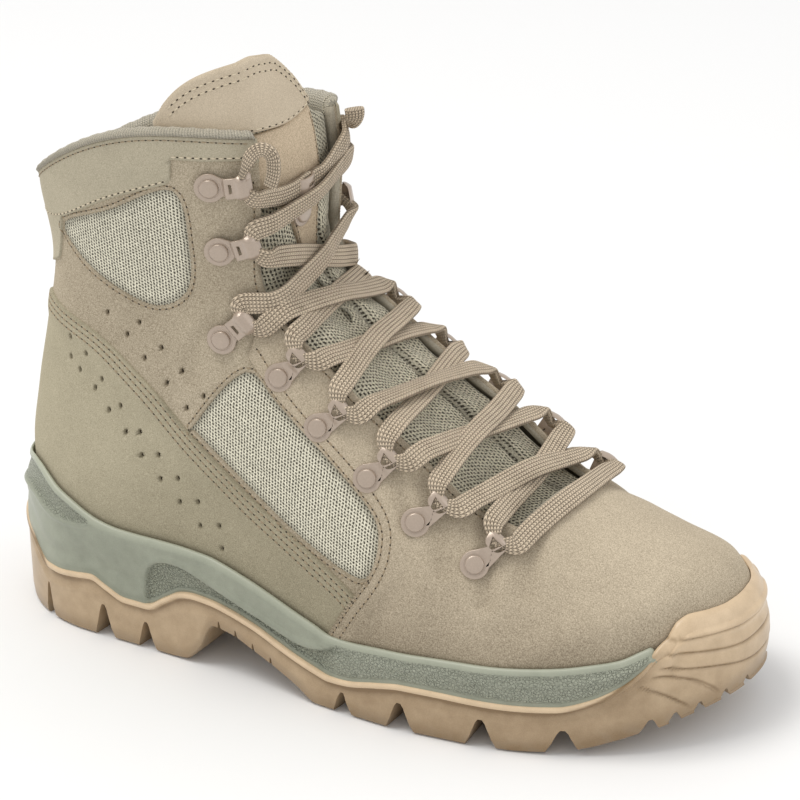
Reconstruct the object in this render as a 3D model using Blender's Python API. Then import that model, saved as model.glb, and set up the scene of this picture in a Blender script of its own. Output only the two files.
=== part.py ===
"""Lace-up desert hiking boot for the right foot, empty and standing on its sole.

Lengths in the tables are millimetres, with x from the back of the heel to the toe,
y towards the inner (medial) side of the foot and z up from the ground.
"""

import math

import bmesh
import bpy
import numpy as np
from mathutils import Matrix, Vector
from mathutils.bvhtree import BVHTree

MM = 0.001
ORIGIN_X = 145.2  # middle of the sole, measured in the tables' own x and y
ORIGIN_Y = 7.0
LATERAL = -1
MEDIAL = 1

WALL = 2.2  # leather and lining of the upper
COLLAR_WALL = 3.4  # the padded wall at the collar
INSOLE = 4.0
GAP = 0.3  # between neighbouring pieces
OVERLAY = 1.3  # thickness of a sewn-on suede panel
CUP_GAP = 1.0  # level space between the panels and the inside of the sole cup
UNDER_FOOT = 0.5  # from the upper's lower edge down to the cup's floor
TOE_SWING = 13.0  # how far the toe turns to the medial side
THROAT_SKEW = 0.15  # the lacing turns this much round the foot

# One row for each section of the last. A section is a plane across the foot, from a point on
# the front profile to a point on the feather line or, above the heel, on the back profile.
LAST_COLUMNS = ("front_x", "front_z", "back_x", "back_z", "lateral", "medial",
                "widest", "lateral_power", "medial_power", "lateral_rise", "medial_rise")
LAST = (
    (292, 37, 214, 25, 50.0, 49.0, 0.00, 2.0, 2.35, 0, 0),
    (290, 46, 211, 25, 50.5, 49.5, 0.06, 2.0, 2.35, 0, 0),
    (282, 58, 208, 25, 51.0, 51.0, 0.14, 2.0, 2.3, 0, 0),
    (260, 67, 205, 25, 51.0, 52.0, 0.22, 1.9, 2.1, 0, 0),
    (234, 78, 201, 25, 51.0, 51.0, 0.26, 1.85, 2.0, 0, 0),
    (210, 90, 192, 25, 51.0, 50.0, 0.28, 1.9, 2.0, 0, 0),
    (187, 112, 158, 27, 47.0, 46.0, 0.31, 2.1, 2.2, 0, 0),
    (167, 130, 114, 30, 42.0, 41.0, 0.35, 2.35, 2.4, 0, 0),
    (153, 144, 70, 32, 39.0, 39.0, 0.39, 2.5, 2.5, 0, 0),
    (143, 154, 34, 33, 38.0, 38.0, 0.43, 2.5, 2.5, 0, 0),
    (137, 162, -2, 34, 37.0, 37.0, 0.46, 2.5, 2.5, 0, 0),
    (134, 169, -2, 62, 36.0, 36.0, 0.50, 2.5, 2.5, 1, 1),
    (132, 177, 3, 92, 35.0, 35.0, 0.50, 2.5, 2.5, 3, 2),
    (131, 187, 11, 124, 36.0, 36.0, 0.50, 2.5, 2.5, 6, 3),
    (130, 199, 17, 154, 38.0, 37.0, 0.50, 2.5, 2.5, 11, 5),
    (128, 215, 14, 180, 40.0, 37.0, 0.50, 2.5, 2.5, 18, 7),
    (122, 241, 14, 204, 40.0, 37.0, 0.50, 2.5, 2.5, 18, 7),
)
COLLAR = 15  # the section at the collar; the one above it only carries the tongue
LOWER_POWER = 2.25  # fullness of a section below its widest place
HEEL_SECTION = 10  # the section whose lower end is the back of the heel

# Feather line, where the upper meets the sole: half widths from the long axis.
FEATHER_COLUMNS = ("x", "lateral", "medial")
FEATHER = (
    (40, 32.5, 33.0),
    (80, 34.5, 33.0),
    (120, 38.0, 34.0),
    (160, 45.0, 42.0),
    (192, 49.5, 48.5),
    (214, 50.0, 49.0),
)
HEEL_START = -2.0
HEEL_END = 40.0  # the heel's round runs back from here
TOE_START = 214.0

# Half width of the throat, measured along the section from the middle of the front.
THROAT_COLUMNS = ("section", "half")
THROAT = (
    (4.4, 24),
    (5.0, 28),
    (6.0, 30),
    (7.0, 31),
    (9.0, 32),
    (11.0, 34),
    (13.0, 30),
    (15.0, 28),
)
THROAT_SECTION = 4.5
TONGUE_GAP = 1.0  # from the inside of the upper to the tongue
BINDING_RADIUS = 2.5
BINDING_POINTS = 26

TONGUE_COLUMNS = ("section", "half", "sink", "thickness")
TONGUE = (
    (4.1, 22, 4, 3.0),
    (4.5, 31, 5, 3.5),
    (6.0, 37, 10, 4.5),
    (8.0, 40, 13, 5.5),
    (10.0, 44, 13, 6.0),
    (12.0, 48, 9, 7.0),
    (14.0, 56, 6, 8.0),
    (15.0, 60, 5, 8.0),
    (15.5, 54, 5, 8.0),
    (15.85, 42, 6, 7.0),
    (16.0, 26, 7, 5.0),
)

# Heights of the sole's edges along the foot.
SOLE_COLUMNS = ("x", "cup_top", "parting", "tread")
SOLE = (
    (-4, 68, 15, 0.0),
    (9, 67, 17, 0.0),
    (26, 59, 24, 0.0),
    (40, 51, 25, 0.0),
    (60, 50, 20, 0.0),
    (74, 50, 23, 0.0),
    (88, 50, 31, 4.0),
    (98, 49, 31, 19.0),
    (118, 47, 25, 14.0),
    (136, 42, 17, 6.0),
    (146, 37, 15, 0.0),
    (156, 35, 15, 0.0),
    (184, 37, 22, 0.0),
    (212, 38, 24, 0.0),
    (240, 38, 22, 1.0),
    (258, 40, 25, 4.5),
    (271, 44, 37, 9.0),
    (280, 47, 50, 13.0),
    (288, 48, 58, 16.0),
    (302, 48, 61, 20.0),
)
RAND_COLUMNS = ("x", "top")
RAND = ((262, 44), (273, 46), (277, 48.5), (285, 58), (296, 60.5), (302, 61.5))
RAND_START = 272.5  # the outsole climbs over the toe between these
RAND_END = 277.0
RAND_WALL = 2.4
RECESS_COLUMNS = ("x", "top")
RECESS = ((60, 33), (68, 36), (78, 40.5), (92, 40), (115, 34), (139, 27), (152, 26), (165, 26))
RECESS_DEPTH = 1.1
RIB = 1.8  # height of the raised line along the outsole's upper edge
CUP_WALL = 2.6
CUP_FLOOR = 6.0  # thickness of foam under the foot
JOIN_STEP = 3.0  # the join of midsole and outsole steps up this far out from the feather line
SOLE_STATIONS = 64
TURN_LENGTH = 45.0  # stations stand closer where the outline turns: this far for each radian
CUP_RINGS = 3
CUP_WINDOW = 4.0  # a ring of the cup clears what bulges this far over and under it
BEAD = 0.4  # the rim of the cup is rounded by this
SOLE_OUT = 6.4  # how far the outsole's side stands out from the feather line

GROOVE_COLUMNS = ("x", "width", "depth")
GROOVES = (
    (17, 4, 8),
    (44, 4, 9),
    (63, 4, 9),
    (157, 4, 8),
    (182, 4, 8),
    (211, 4, 9),
    (241, 5, 9),
    (262, 4, 5),
    (269, 4, 5),
    (276, 4, 5),
)
PLATE = 5.0  # height of the tread's base over the lugs' feet
LUG_REACH = 14.0  # from the edge of the sole inwards

CENTRE_LUG_COLUMNS = ("x", "y", "length", "width", "turn")
CENTRE_LUGS = (
    (36, 0, 16, 20, 0),
    (66, 0, 14, 20, 0),
    (158, -9, 15, 19, 18),
    (158, 15, 15, 19, -18),
    (184, -13, 15, 22, 18),
    (184, 19, 15, 22, -18),
    (210, -11, 15, 22, 18),
    (210, 21, 15, 22, -18),
    (234, -4, 13, 18, 18),
    (234, 22, 13, 18, -18),
)

# Panel outlines seen from the lateral side, each point an x and a z.
VAMP_EDGE = ((148, 12), (152, 34), (162, 48), (173, 60), (176, 71), (171, 83), (157, 98),
             (135, 117), (113, 137))
VAMP_TOP = ((118, 147), (128, 158))
VAMP_LAST_SECTION = 11
QUARTER_SEAM = ((20, 139), (29, 138), (49, 132), (71, 116.5), (93, 97), (115, 81), (138, 67),
                (156, 56), (162, 49.3))
COLLAR_WINDOW = ((35.5, 174), (60, 186), (87, 198), (91, 174), (89.5, 159), (83, 151.5),
                 (72.5, 149.5), (56, 155.5), (43, 163.5))
SIDE_WINDOW = ((112, 127), (127, 116), (149, 98.5), (168, 81.5), (171, 71), (168, 62), (161, 59),
               (138, 69), (115, 84), (93, 100), (92, 104))
CUFF_EDGE = ((-10, 171), (20, 172), (35, 176.5), (60, 190.5), (87, 201.5))
CUFF_STEP = ((88, 211), (100, 211), (113, 211), (140, 214))
BACK_SEAM = 3.6  # half the space that the side panels leave up the back of the heel
STRIP_TOP = 149.0  # height of the strip that fills it
BEYOND_BACK = -18  # outlines run past the boot to here, at the back,
BEYOND_TOE = 330  # to here at the toe,
BEYOND_TOP = 240
SIDE_REACH = 90  # and this far out to each side

# Lace hardware: the section and the arc from the middle of the front, at the rivet and at the tip.
HARDWARE_COLUMNS = ("section", "arc", "tip_section", "tip_arc")
HARDWARE = (
    (4.62, 46.2, 4.54, 32.2),
    (5.61, 48.8, 5.49, 35.6),
    (6.37, 49.9, 6.26, 35.4),
    (7.31, 49.5, 7.22, 37.8),
    (8.46, 47.6, 8.49, 37.0),
    (10.43, 57.5, 10.48, 43.7),
    (12.81, 46.8, 12.73, 35.2),
    (14.20, 47.1, 14.22, 36.0),
)
RIVET_RADIUS = 5.5
PLATE_THICKNESS = 1.1
NECK = 8.5  # from the rivet to where the tab widens
TAB_END = 14.5  # from the rivet to the end of the tab
TIP_LIFT = 3.2
TIP_WIDTH = 8.0
KEEPER_SECTION = 12.6
KEEPER_ARC = 5.0
KEEPER_HOLE = 11.0  # from the rivet to the middle of the lace hole

LACE_WIDTH = 6.6
LACE_THICKNESS = 1.6
LACE_STAND_OFF = 1.5  # from a ring's tab to the lace
LACE_CLEARANCE = 2.1
LACE_APART = 4.35  # from the middle of a ring's tab to each lace that leaves it
LATERAL_END = ((115, -34, 207), (117.5, -34, 212), (120.5, -33.5, 217), (124.5, -32.5, 219),
               (127.5, -31.5, 216), (127, -31, 210), (125, -31, 204))
MEDIAL_END = ((124, 30.5, 206.4), (126.8, 28, 207.8), (129, 25.5, 210.5), (130, 23.5, 213), (130.5, 22.5, 216))
LACE_SHARES = (0, 0.05, 0.11, 0.2, 0.4, 0.6, 0.8, 0.89, 0.95, 1)  # where a lace's route bends
LACE_PINCH = 0.45  # the lace's width at a ring, as a share of its full width

# Rows of the upper's grid: closer over the toe, at the throat's end and round the heel.
GRID_SECTIONS = (0, 1, 1.5, 2, 2.5, 3, 4, 4.5, 5, 5.5, 6, 6.5, 7, 7.5, 8, 8.5, 9, 9.4, 9.75, 9.92,
                 10, 11, 12, 13, 14, 15)
ARCS_IN_THROAT = 3
ARCS_ON_SIDE = 7


# ---------- tables ----------

def column(table, names, name):
    return np.array([row[names.index(name)] for row in table], float)


def smooth(xs, ys, x):
    """Monotone cubic through (xs, ys), held level beyond its ends."""
    x = np.clip(np.asarray(x, float), xs[0], xs[-1])
    step = np.diff(xs)
    rate = np.diff(ys) / step
    slope = np.zeros(len(xs))
    for i in range(1, len(xs) - 1):
        if rate[i - 1] * rate[i] > 0:
            before = 2 * step[i] + step[i - 1]
            after = step[i] + 2 * step[i - 1]
            slope[i] = (before + after) / (before / rate[i - 1] + after / rate[i])
    slope[0] = rate[0]
    slope[-1] = rate[-1]
    i = np.clip(np.searchsorted(xs, x, side="right") - 1, 0, len(step) - 1)
    k = (x - xs[i]) / step[i]
    bend_a = step[i] * slope[i] * k * (1 - k) ** 2
    bend_b = step[i] * slope[i + 1] * k * k * (k - 1)
    return ys[i] * (1 + 2 * k) * (1 - k) ** 2 + bend_a + ys[i + 1] * k * k * (3 - 2 * k) + bend_b


def lookup(table, names, name, at):
    return smooth(column(table, names, names[0]), column(table, names, name), at)


LAST_NUMBER = np.arange(len(LAST), dtype=float)
LAST_SHAPE = {name: column(LAST, LAST_COLUMNS, name) for name in LAST_COLUMNS}


def last_row(section):
    return {name: float(smooth(LAST_NUMBER, values, section)) for name, values in LAST_SHAPE.items()}


def side_name(side):
    return "lateral" if side == LATERAL else "medial"


def ease(low, high, x):
    k = np.clip((np.asarray(x, float) - low) / (high - low), 0, 1)
    return k * k * (3 - 2 * k)


# ---------- the last ----------

def feather_half(x, side):
    """Half width of the feather line, round at the back of the heel."""
    half = lookup(FEATHER, FEATHER_COLUMNS, side_name(side), x)
    k = np.clip((HEEL_END - np.asarray(x, float)) / (HEEL_END - HEEL_START), 0, 1)
    return half * np.sqrt(1 - k * k)


def turn_foot(points):
    """Skews the lacing round the foot and swings the toe to the medial side."""
    out = np.array(points, float)
    x = out[..., 0].copy()
    y = out[..., 1].copy()
    out[..., 0] = x + THROAT_SKEW * y * ease(30, 140, x)
    out[..., 1] = y + TOE_SWING * np.clip((ease(120, 290, x) + (x - 120) / 170) / 2, 0, 1.2)
    return out


def half_section(section, side, samples=90):
    """Points of one side of a section, from the front profile to its lower end."""
    row = last_row(section)
    width = row[side_name(side)]
    power = row[side_name(side) + "_power"]
    foot = min(float(feather_half(row["back_x"], side)), width) if section < HEEL_SECTION else 0.0
    angle = np.linspace(0, math.pi / 2, samples)
    upper = row["widest"] + (1 - row["widest"]) * np.cos(angle) ** (2 / power)
    upper_y = width * np.sin(angle) ** (2 / power)
    lower = row["widest"] * (1 - np.sin(angle) ** (2 / LOWER_POWER))
    lower_y = foot + (width - foot) * np.cos(angle) ** (2 / LOWER_POWER)
    share = np.concatenate([upper, lower[1:]]) if row["widest"] > 1e-3 else upper
    y = np.concatenate([upper_y, lower_y[1:]]) if row["widest"] > 1e-3 else upper_y
    run = row["front_x"] - row["back_x"]
    climb = row["front_z"] - row["back_z"]
    length = math.hypot(run, climb)
    lift = row[side_name(side) + "_rise"] * np.sin(math.pi * np.clip(share, 0, 1)) ** 0.8
    x = row["back_x"] + run * share - climb / length * lift
    z = row["back_z"] + climb * share + run / length * lift
    return turn_foot(np.stack([x, side * y, z], axis=1))


def arcs_of(points):
    return np.concatenate([[0], np.cumsum(np.linalg.norm(np.diff(points, axis=0), axis=1))])


def along(points, arcs):
    run = arcs_of(points)
    return np.stack([np.interp(arcs, run, points[:, i]) for i in range(3)], axis=1)


def section_arcs(section, side, inner, cells_in, cells_out):
    """Arc lengths of a grid row: cells_in cells in the throat, then cells_out down the side."""
    full = arcs_of(half_section(section, side))[-1]
    inside = np.linspace(0, inner, cells_in + 1)
    outside = np.linspace(inner, full, cells_out + 1)
    return np.concatenate([inside, outside[1:]])


def surface_row(section, side, arcs, offset):
    """Points at these arcs of one side of a section, moved out along the surface normal."""
    points = along(half_section(section, side), arcs)
    if np.all(np.asarray(offset) == 0):
        return points
    small = 0.04
    low = max(section - small, 0)
    high = min(section + small, len(LAST) - 1)
    if low < HEEL_SECTION <= section:
        low = section
    full = arcs_of(half_section(section, side))[-1]
    share = np.asarray(arcs) / full
    before = half_section(low, side)
    after = half_section(high, side)
    before = along(before, share * arcs_of(before)[-1])
    after = along(after, share * arcs_of(after)[-1])
    there = half_section(section, side)
    up = along(there, np.clip(np.asarray(arcs) - 0.8, 0, full))
    down = along(there, np.clip(np.asarray(arcs) + 0.8, 0, full))
    across = down - up
    across[np.asarray(arcs) < 0.8] = (0, side, 0)
    # The lower end runs level round the sole or, over the heel, up the back of the leg.
    across[share > 0.995] = (0, 0, -1) if section < HEEL_SECTION else (0, -side, 0)
    normal = np.cross(across, after - before) * side
    normal /= np.linalg.norm(normal, axis=1, keepdims=True)
    return points + normal * np.reshape(np.broadcast_to(offset, len(points)), (-1, 1))


def throat_half(section):
    return float(lookup(THROAT, THROAT_COLUMNS, "half", section))


def whole_row(section, offset):
    """A grid row from the lateral lower edge over the front to the medial lower edge."""
    halves = []
    for side in (LATERAL, MEDIAL):
        arcs = section_arcs(section, side, throat_half(section), ARCS_IN_THROAT, ARCS_ON_SIDE)
        halves.append(surface_row(section, side, arcs, offset))
    return np.concatenate([halves[0][::-1], halves[1][1:]])


def grid_sections():
    return np.array(GRID_SECTIONS, float)


# ---------- Blender helpers ----------

def place(point):
    return ((point[0] - ORIGIN_X) * MM, (point[1] - ORIGIN_Y) * MM, point[2] * MM)


def material(name, colour, roughness, metallic=0.0):
    mat = bpy.data.materials.get(name)
    if mat is None:
        mat = bpy.data.materials.new(name)
        mat.use_nodes = True
        shader = mat.node_tree.nodes["Principled BSDF"]
        shader.inputs["Base Color"].default_value = (*colour, 1)
        shader.inputs["Roughness"].default_value = roughness
        shader.inputs["Metallic"].default_value = metallic
    return mat


def suede():
    return material("suede", (0.42, 0.36, 0.27), 0.95)


def nubuck():
    return material("nubuck", (0.48, 0.43, 0.33), 0.9)


def mesh_cloth():
    return material("mesh_cloth", (0.42, 0.42, 0.34), 0.9)


def knit():
    return material("knit", (0.50, 0.47, 0.37), 0.95)


def sole_foam():
    return material("sole_foam", (0.30, 0.34, 0.28), 0.7)


def sole_rubber():
    return material("sole_rubber", (0.56, 0.42, 0.28), 0.6)


def strip_cloth():
    return material("strip_cloth", (0.10, 0.08, 0.06), 0.85)


def board():
    return material("board", (0.25, 0.22, 0.18), 0.95)


def painted_metal():
    return material("painted_metal", (0.42, 0.37, 0.32), 0.45, 0.3)


def lace_cord():
    return material("lace_cord", (0.60, 0.50, 0.38), 0.9)


def mesh_object(name, bm, mat, collection):
    bmesh.ops.remove_doubles(bm, verts=bm.verts, dist=0.00002)
    bmesh.ops.triangulate(bm, faces=bm.faces)
    bmesh.ops.recalc_face_normals(bm, faces=bm.faces)
    mesh = bpy.data.meshes.new(name)
    bm.to_mesh(mesh)
    bm.free()
    if mat is not None:
        mesh.materials.append(mat)
        mesh.shade_smooth()
        mesh.set_sharp_from_angle(angle=math.radians(40))
    obj = bpy.data.objects.new(name, mesh)
    collection.objects.link(obj)
    if collection.hide_render:
        obj.hide_render = True
        obj.display_type = "WIRE"
    return obj


def add_face(bm, corners):
    kept = []
    for corner in corners:
        if corner not in kept:
            kept.append(corner)
    if len(kept) > 2:
        bm.faces.new(kept)


def slab(outer, inner, keep, both_sides=True):
    """Closed wall between two grids of points, over the cells that keep(i, j) allows."""
    bm = bmesh.new()
    rows, columns = outer.shape[:2]
    top = {}
    low = {}
    cells = {(i, j) for i in range(rows - 1) for j in range(columns - 1) if keep(i, j)}
    for i, j in sorted(cells):
        for di, dj in ((0, 0), (0, 1), (1, 1), (1, 0)):
            spot = (i + di, j + dj)
            if spot not in top:
                top[spot] = bm.verts.new(place(outer[spot]))
                low[spot] = bm.verts.new(place(inner[spot]))
    edges = (
        ((0, 0), (0, 1), (-1, 0)),
        ((0, 1), (1, 1), (0, 1)),
        ((1, 1), (1, 0), (1, 0)),
        ((1, 0), (0, 0), (0, -1)),
    )
    for i, j in sorted(cells):
        corners = [(i, j), (i, j + 1), (i + 1, j + 1), (i + 1, j)]
        add_face(bm, [top[c] for c in corners])
        add_face(bm, [low[c] for c in reversed(corners)])
        for start, end, step in edges:
            a = (i + start[0], j + start[1])
            b = (i + end[0], j + end[1])
            if (i + step[0], j + step[1]) in cells or both_sides and seam_edge(outer, a, b):
                continue
            add_face(bm, [top[b], top[a], low[a], low[b]])
    return bm


def seam_edge(grid, a, b):
    """True on the line up the back of the heel, where the grid's two ends meet."""
    last = grid.shape[1] - 1
    if {a[1], b[1]} not in ({0}, {last}):
        return False
    return all(np.linalg.norm(grid[spot[0], 0] - grid[spot[0], last]) < 0.05 for spot in (a, b))


def ladder(name, rings, mat, collection):
    """Solid from rings round the sole: caps run straight across the foot, bridges join the rings."""
    bm = bmesh.new()
    count = len(rings[0])
    verts = [[bm.verts.new(place(p)) for p in ring] for ring in rings]
    for upper, lower in zip(verts, verts[1:]):
        for k in range(count):
            n = (k + 1) % count
            add_face(bm, [upper[k], upper[n], lower[n]])
            add_face(bm, [upper[k], lower[n], lower[k]])
    for ring in (verts[0], verts[-1]):
        for k in range(count // 2):
            a, b, c, d = ring[k], ring[k + 1], ring[count - k - 1], ring[-k % count]
            add_face(bm, [a, b, d])
            if c is not b:
                add_face(bm, [b, c, d])
    return mesh_object(name, bm, mat, collection)


def prism(name, levels, collection):
    """Solid through the same outline in x and z at several places along y."""
    bm = bmesh.new()
    rings = [[bm.verts.new(place((x, y, z))) for x, z in outline] for y, outline in levels]
    count = len(rings[0])
    for low, high in zip(rings, rings[1:]):
        for k in range(count):
            n = (k + 1) % count
            bm.faces.new((low[k], low[n], high[n], high[k]))
    bm.faces.new(rings[0][::-1])
    bm.faces.new(rings[-1])
    return mesh_object(name, bm, None, collection)


def boolean(obj, other, operation):
    modifier = obj.modifiers.new(operation.lower(), "BOOLEAN")
    modifier.operation = operation
    modifier.solver = "EXACT"
    modifier.object = other


def curved(points, steps=3):
    """Catmull-Rom line through a few outline points."""
    pts = np.array(points, float)
    ends = np.concatenate([[2 * pts[0] - pts[1]], pts, [2 * pts[-1] - pts[-2]]])
    line = []
    for i in range(1, len(ends) - 2):
        for k in np.arange(steps) / steps:
            a, b, c, d = ends[i - 1: i + 3]
            line.append(0.5 * (2 * b + (c - a) * k + (2 * a - 5 * b + 4 * c - d) * k * k
                               + (3 * b - a - 3 * c + d) * k ** 3))
    line.append(pts[-1])
    return [tuple(p) for p in line]


def shifted(points, dx, dz):
    return [(x + dx, z + dz) for x, z in points]


# ---------- upper ----------

def wall_at(section):
    return WALL + (COLLAR_WALL - WALL) * float(ease(9, 13, section))


def last_grid(offset):
    return np.array([whole_row(t, offset) for t in grid_sections()])


def inner_grid():
    return np.array([whole_row(t, -wall_at(t)) for t in grid_sections()])


def covers(sections):
    """Cells of leather: everything but the throat."""
    middle = ARCS_IN_THROAT + ARCS_ON_SIDE

    def keep(i, j):
        in_throat = middle - ARCS_IN_THROAT <= j < middle + ARCS_IN_THROAT
        return not (in_throat and sections[i] >= THROAT_SECTION - 1e-6)

    return keep


def make_upper(collection):
    bm = slab(last_grid(0), inner_grid(), covers(grid_sections()))
    return mesh_object("upper", bm, mesh_cloth(), collection)


def overlay_slab(name, mat, collection, rows=(0, COLLAR), side=None):
    """Panel blank over part of the upper, as thick as one layer of suede."""
    sections = grid_sections()
    leather = covers(sections)
    middle = ARCS_IN_THROAT + ARCS_ON_SIDE

    def keep(i, j):
        if not leather(i, j) or not rows[0] <= (sections[i] + sections[i + 1]) / 2 <= rows[1]:
            return False
        return side is None or (j < middle) == (side == LATERAL)

    bm = slab(last_grid(GAP + OVERLAY), last_grid(GAP), keep, side is None)
    return mesh_object(name, bm, mat, collection)


def for_side(outline, side):
    """The lateral outline, or the same panel's outline on the medial side of the last."""
    if side == LATERAL:
        return list(outline)
    sections = np.linspace(4, COLLAR, 89)
    share = np.linspace(0, 1, 60)
    spots = []
    shifts = []
    for t in sections:
        lateral = half_section(t, LATERAL)
        medial = half_section(t, MEDIAL)
        lateral = along(lateral, share * arcs_of(lateral)[-1])
        medial = along(medial, share * arcs_of(medial)[-1])
        spots.append(lateral[:, (0, 2)])
        shifts.append((medial - lateral)[:, (0, 2)])
    spots = np.concatenate(spots)
    shifts = np.concatenate(shifts)
    out = []
    for point in outline:
        nearest = np.argsort(np.hypot(*(spots - point).T))[:12]
        out.append(tuple(np.array(point) + shifts[nearest].mean(axis=0)))
    return out


def side_prism(name, outline, side, collection):
    near = SIDE_REACH if side == MEDIAL else -SIDE_REACH
    levels = sorted([(near, for_side(outline, side)), (side * BACK_SEAM, for_side(outline, side))])
    return prism(name, levels, collection)


def closed_curve(points):
    return curved(points + points[:1], 2)[:-1]


def make_vamp(collection, cutters):
    """The suede over the toe and instep, its rear edge down each side."""
    low = VAMP_EDGE[0][1]
    high = VAMP_TOP[-1][1]
    vamp = curved(VAMP_EDGE) + list(VAMP_TOP) + [(BEYOND_TOE, high), (BEYOND_TOE, low)]
    lateral = for_side(vamp, LATERAL)
    medial = for_side(vamp, MEDIAL)
    turn = 12  # the outline changes from one side's to the other's across the middle of the foot
    levels = [(-SIDE_REACH, lateral), (-turn, lateral), (turn, medial), (SIDE_REACH, medial)]
    obj = overlay_slab("vamp_overlay", suede(), collection, rows=(0, VAMP_LAST_SECTION))
    boolean(obj, prism("vamp_blank", levels, cutters), "INTERSECT")


def make_side_panels(collection, cutters):
    cuff_line = curved(CUFF_EDGE) + list(CUFF_STEP)
    cuff = cuff_line + [(cuff_line[-1][0], BEYOND_TOP), (cuff_line[0][0], BEYOND_TOP)]
    seam = curved(QUARTER_SEAM)
    seam = [(BEYOND_BACK, seam[0][1])] + seam
    window_a = closed_curve(COLLAR_WINDOW)
    window_b = closed_curve(SIDE_WINDOW)
    # The ankle panel runs from the quarter's seam to the cuff and forward to the vamp's edge.
    low = shifted(seam, GAP, 2 * GAP)
    edge = [p for p in shifted(curved(VAMP_EDGE), -2 * GAP, -GAP) if p[1] > VAMP_EDGE[3][1] + 2]
    top = shifted(VAMP_TOP + ((150, VAMP_TOP[-1][1]),), -2 * GAP, 2 * GAP)
    high = shifted(cuff_line, GAP, -2 * GAP)
    ankle = low + edge + top + high[::-1]
    front = shifted(VAMP_EDGE[:3], -4 * GAP, 0)[::-1]
    quarter = seam + front + [(BEYOND_BACK, VAMP_EDGE[0][1])]
    for side in (LATERAL, MEDIAL):
        name = side_name(side)
        obj = overlay_slab("cuff_" + name, nubuck(), collection, (11, COLLAR), side)
        boolean(obj, side_prism("cuff_blank_" + name, cuff, side, cutters), "INTERSECT")
        obj = overlay_slab("eyestay_" + name, suede(), collection, (5, COLLAR), side)
        boolean(obj, side_prism("ankle_blank_" + name, ankle, side, cutters), "INTERSECT")
        boolean(obj, side_prism("collar_window_" + name, window_a, side, cutters), "DIFFERENCE")
        boolean(obj, side_prism("side_window_" + name, window_b, side, cutters), "DIFFERENCE")
        obj = overlay_slab("quarter_" + name, nubuck(), collection, (5, 14), side)
        boolean(obj, side_prism("quarter_blank_" + name, quarter, side, cutters), "INTERSECT")


# ---------- sole ----------

def feather_height(x):
    sections = np.linspace(0, HEEL_SECTION, 81)
    back_x = smooth(LAST_NUMBER, LAST_SHAPE["back_x"], sections)
    back_z = smooth(LAST_NUMBER, LAST_SHAPE["back_z"], sections)
    return np.interp(x, back_x[::-1], back_z[::-1])


def sole_outline():
    """Feather line as a closed run of points, lateral side first, heel to toe and back."""
    halves = []
    for side in (LATERAL, MEDIAL):
        k = np.linspace(0, 1, 300)
        back_x = HEEL_START + (TOE_START - HEEL_START) * (1 - np.cos(k * math.pi / 2))
        back = np.stack([back_x, side * feather_half(back_x, side), feather_height(back_x)], axis=1)
        toe = half_section(0.0, side, 300)[::-1]
        halves.append(np.concatenate([turn_foot(back), toe[1:]]))
    stations = []
    for side_points, reverse in ((halves[0], False), (halves[1], True)):
        heading = np.unwrap(np.arctan2(*np.diff(side_points[:, :2], axis=0).T[::-1]))
        turning = np.concatenate([[0, 0], np.cumsum(np.abs(np.diff(heading)))])
        measure = arcs_of(side_points) + TURN_LENGTH * turning
        even = np.linspace(0, measure[-1], SOLE_STATIONS // 2 + 1)
        points = np.stack([np.interp(even, measure, side_points[:, i]) for i in range(3)], axis=1)
        stations.append(points[::-1][:-1] if reverse else points[:-1])
    return np.concatenate([stations[0], stations[1]])


def outline_normals(ring):
    ahead = np.roll(ring, -1, axis=0) - np.roll(ring, 1, axis=0)
    normal = np.stack([ahead[:, 1], -ahead[:, 0], 0 * ahead[:, 0]], axis=1)
    normal /= np.linalg.norm(normal, axis=1, keepdims=True)
    return normal


def panel_tree():
    """Ray target for the outside of the panels that the sole cup closes round."""
    grid = last_grid(GAP + OVERLAY)
    rows, columns = grid.shape[:2]
    points = [Vector(p) for p in grid.reshape(-1, 3)]
    faces = []
    for i in range(rows - 1):
        for j in range(columns - 1):
            a = i * columns + j
            faces.append((a, a + 1, a + columns + 1, a + columns))
    return BVHTree.FromPolygons(points, faces)


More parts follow.
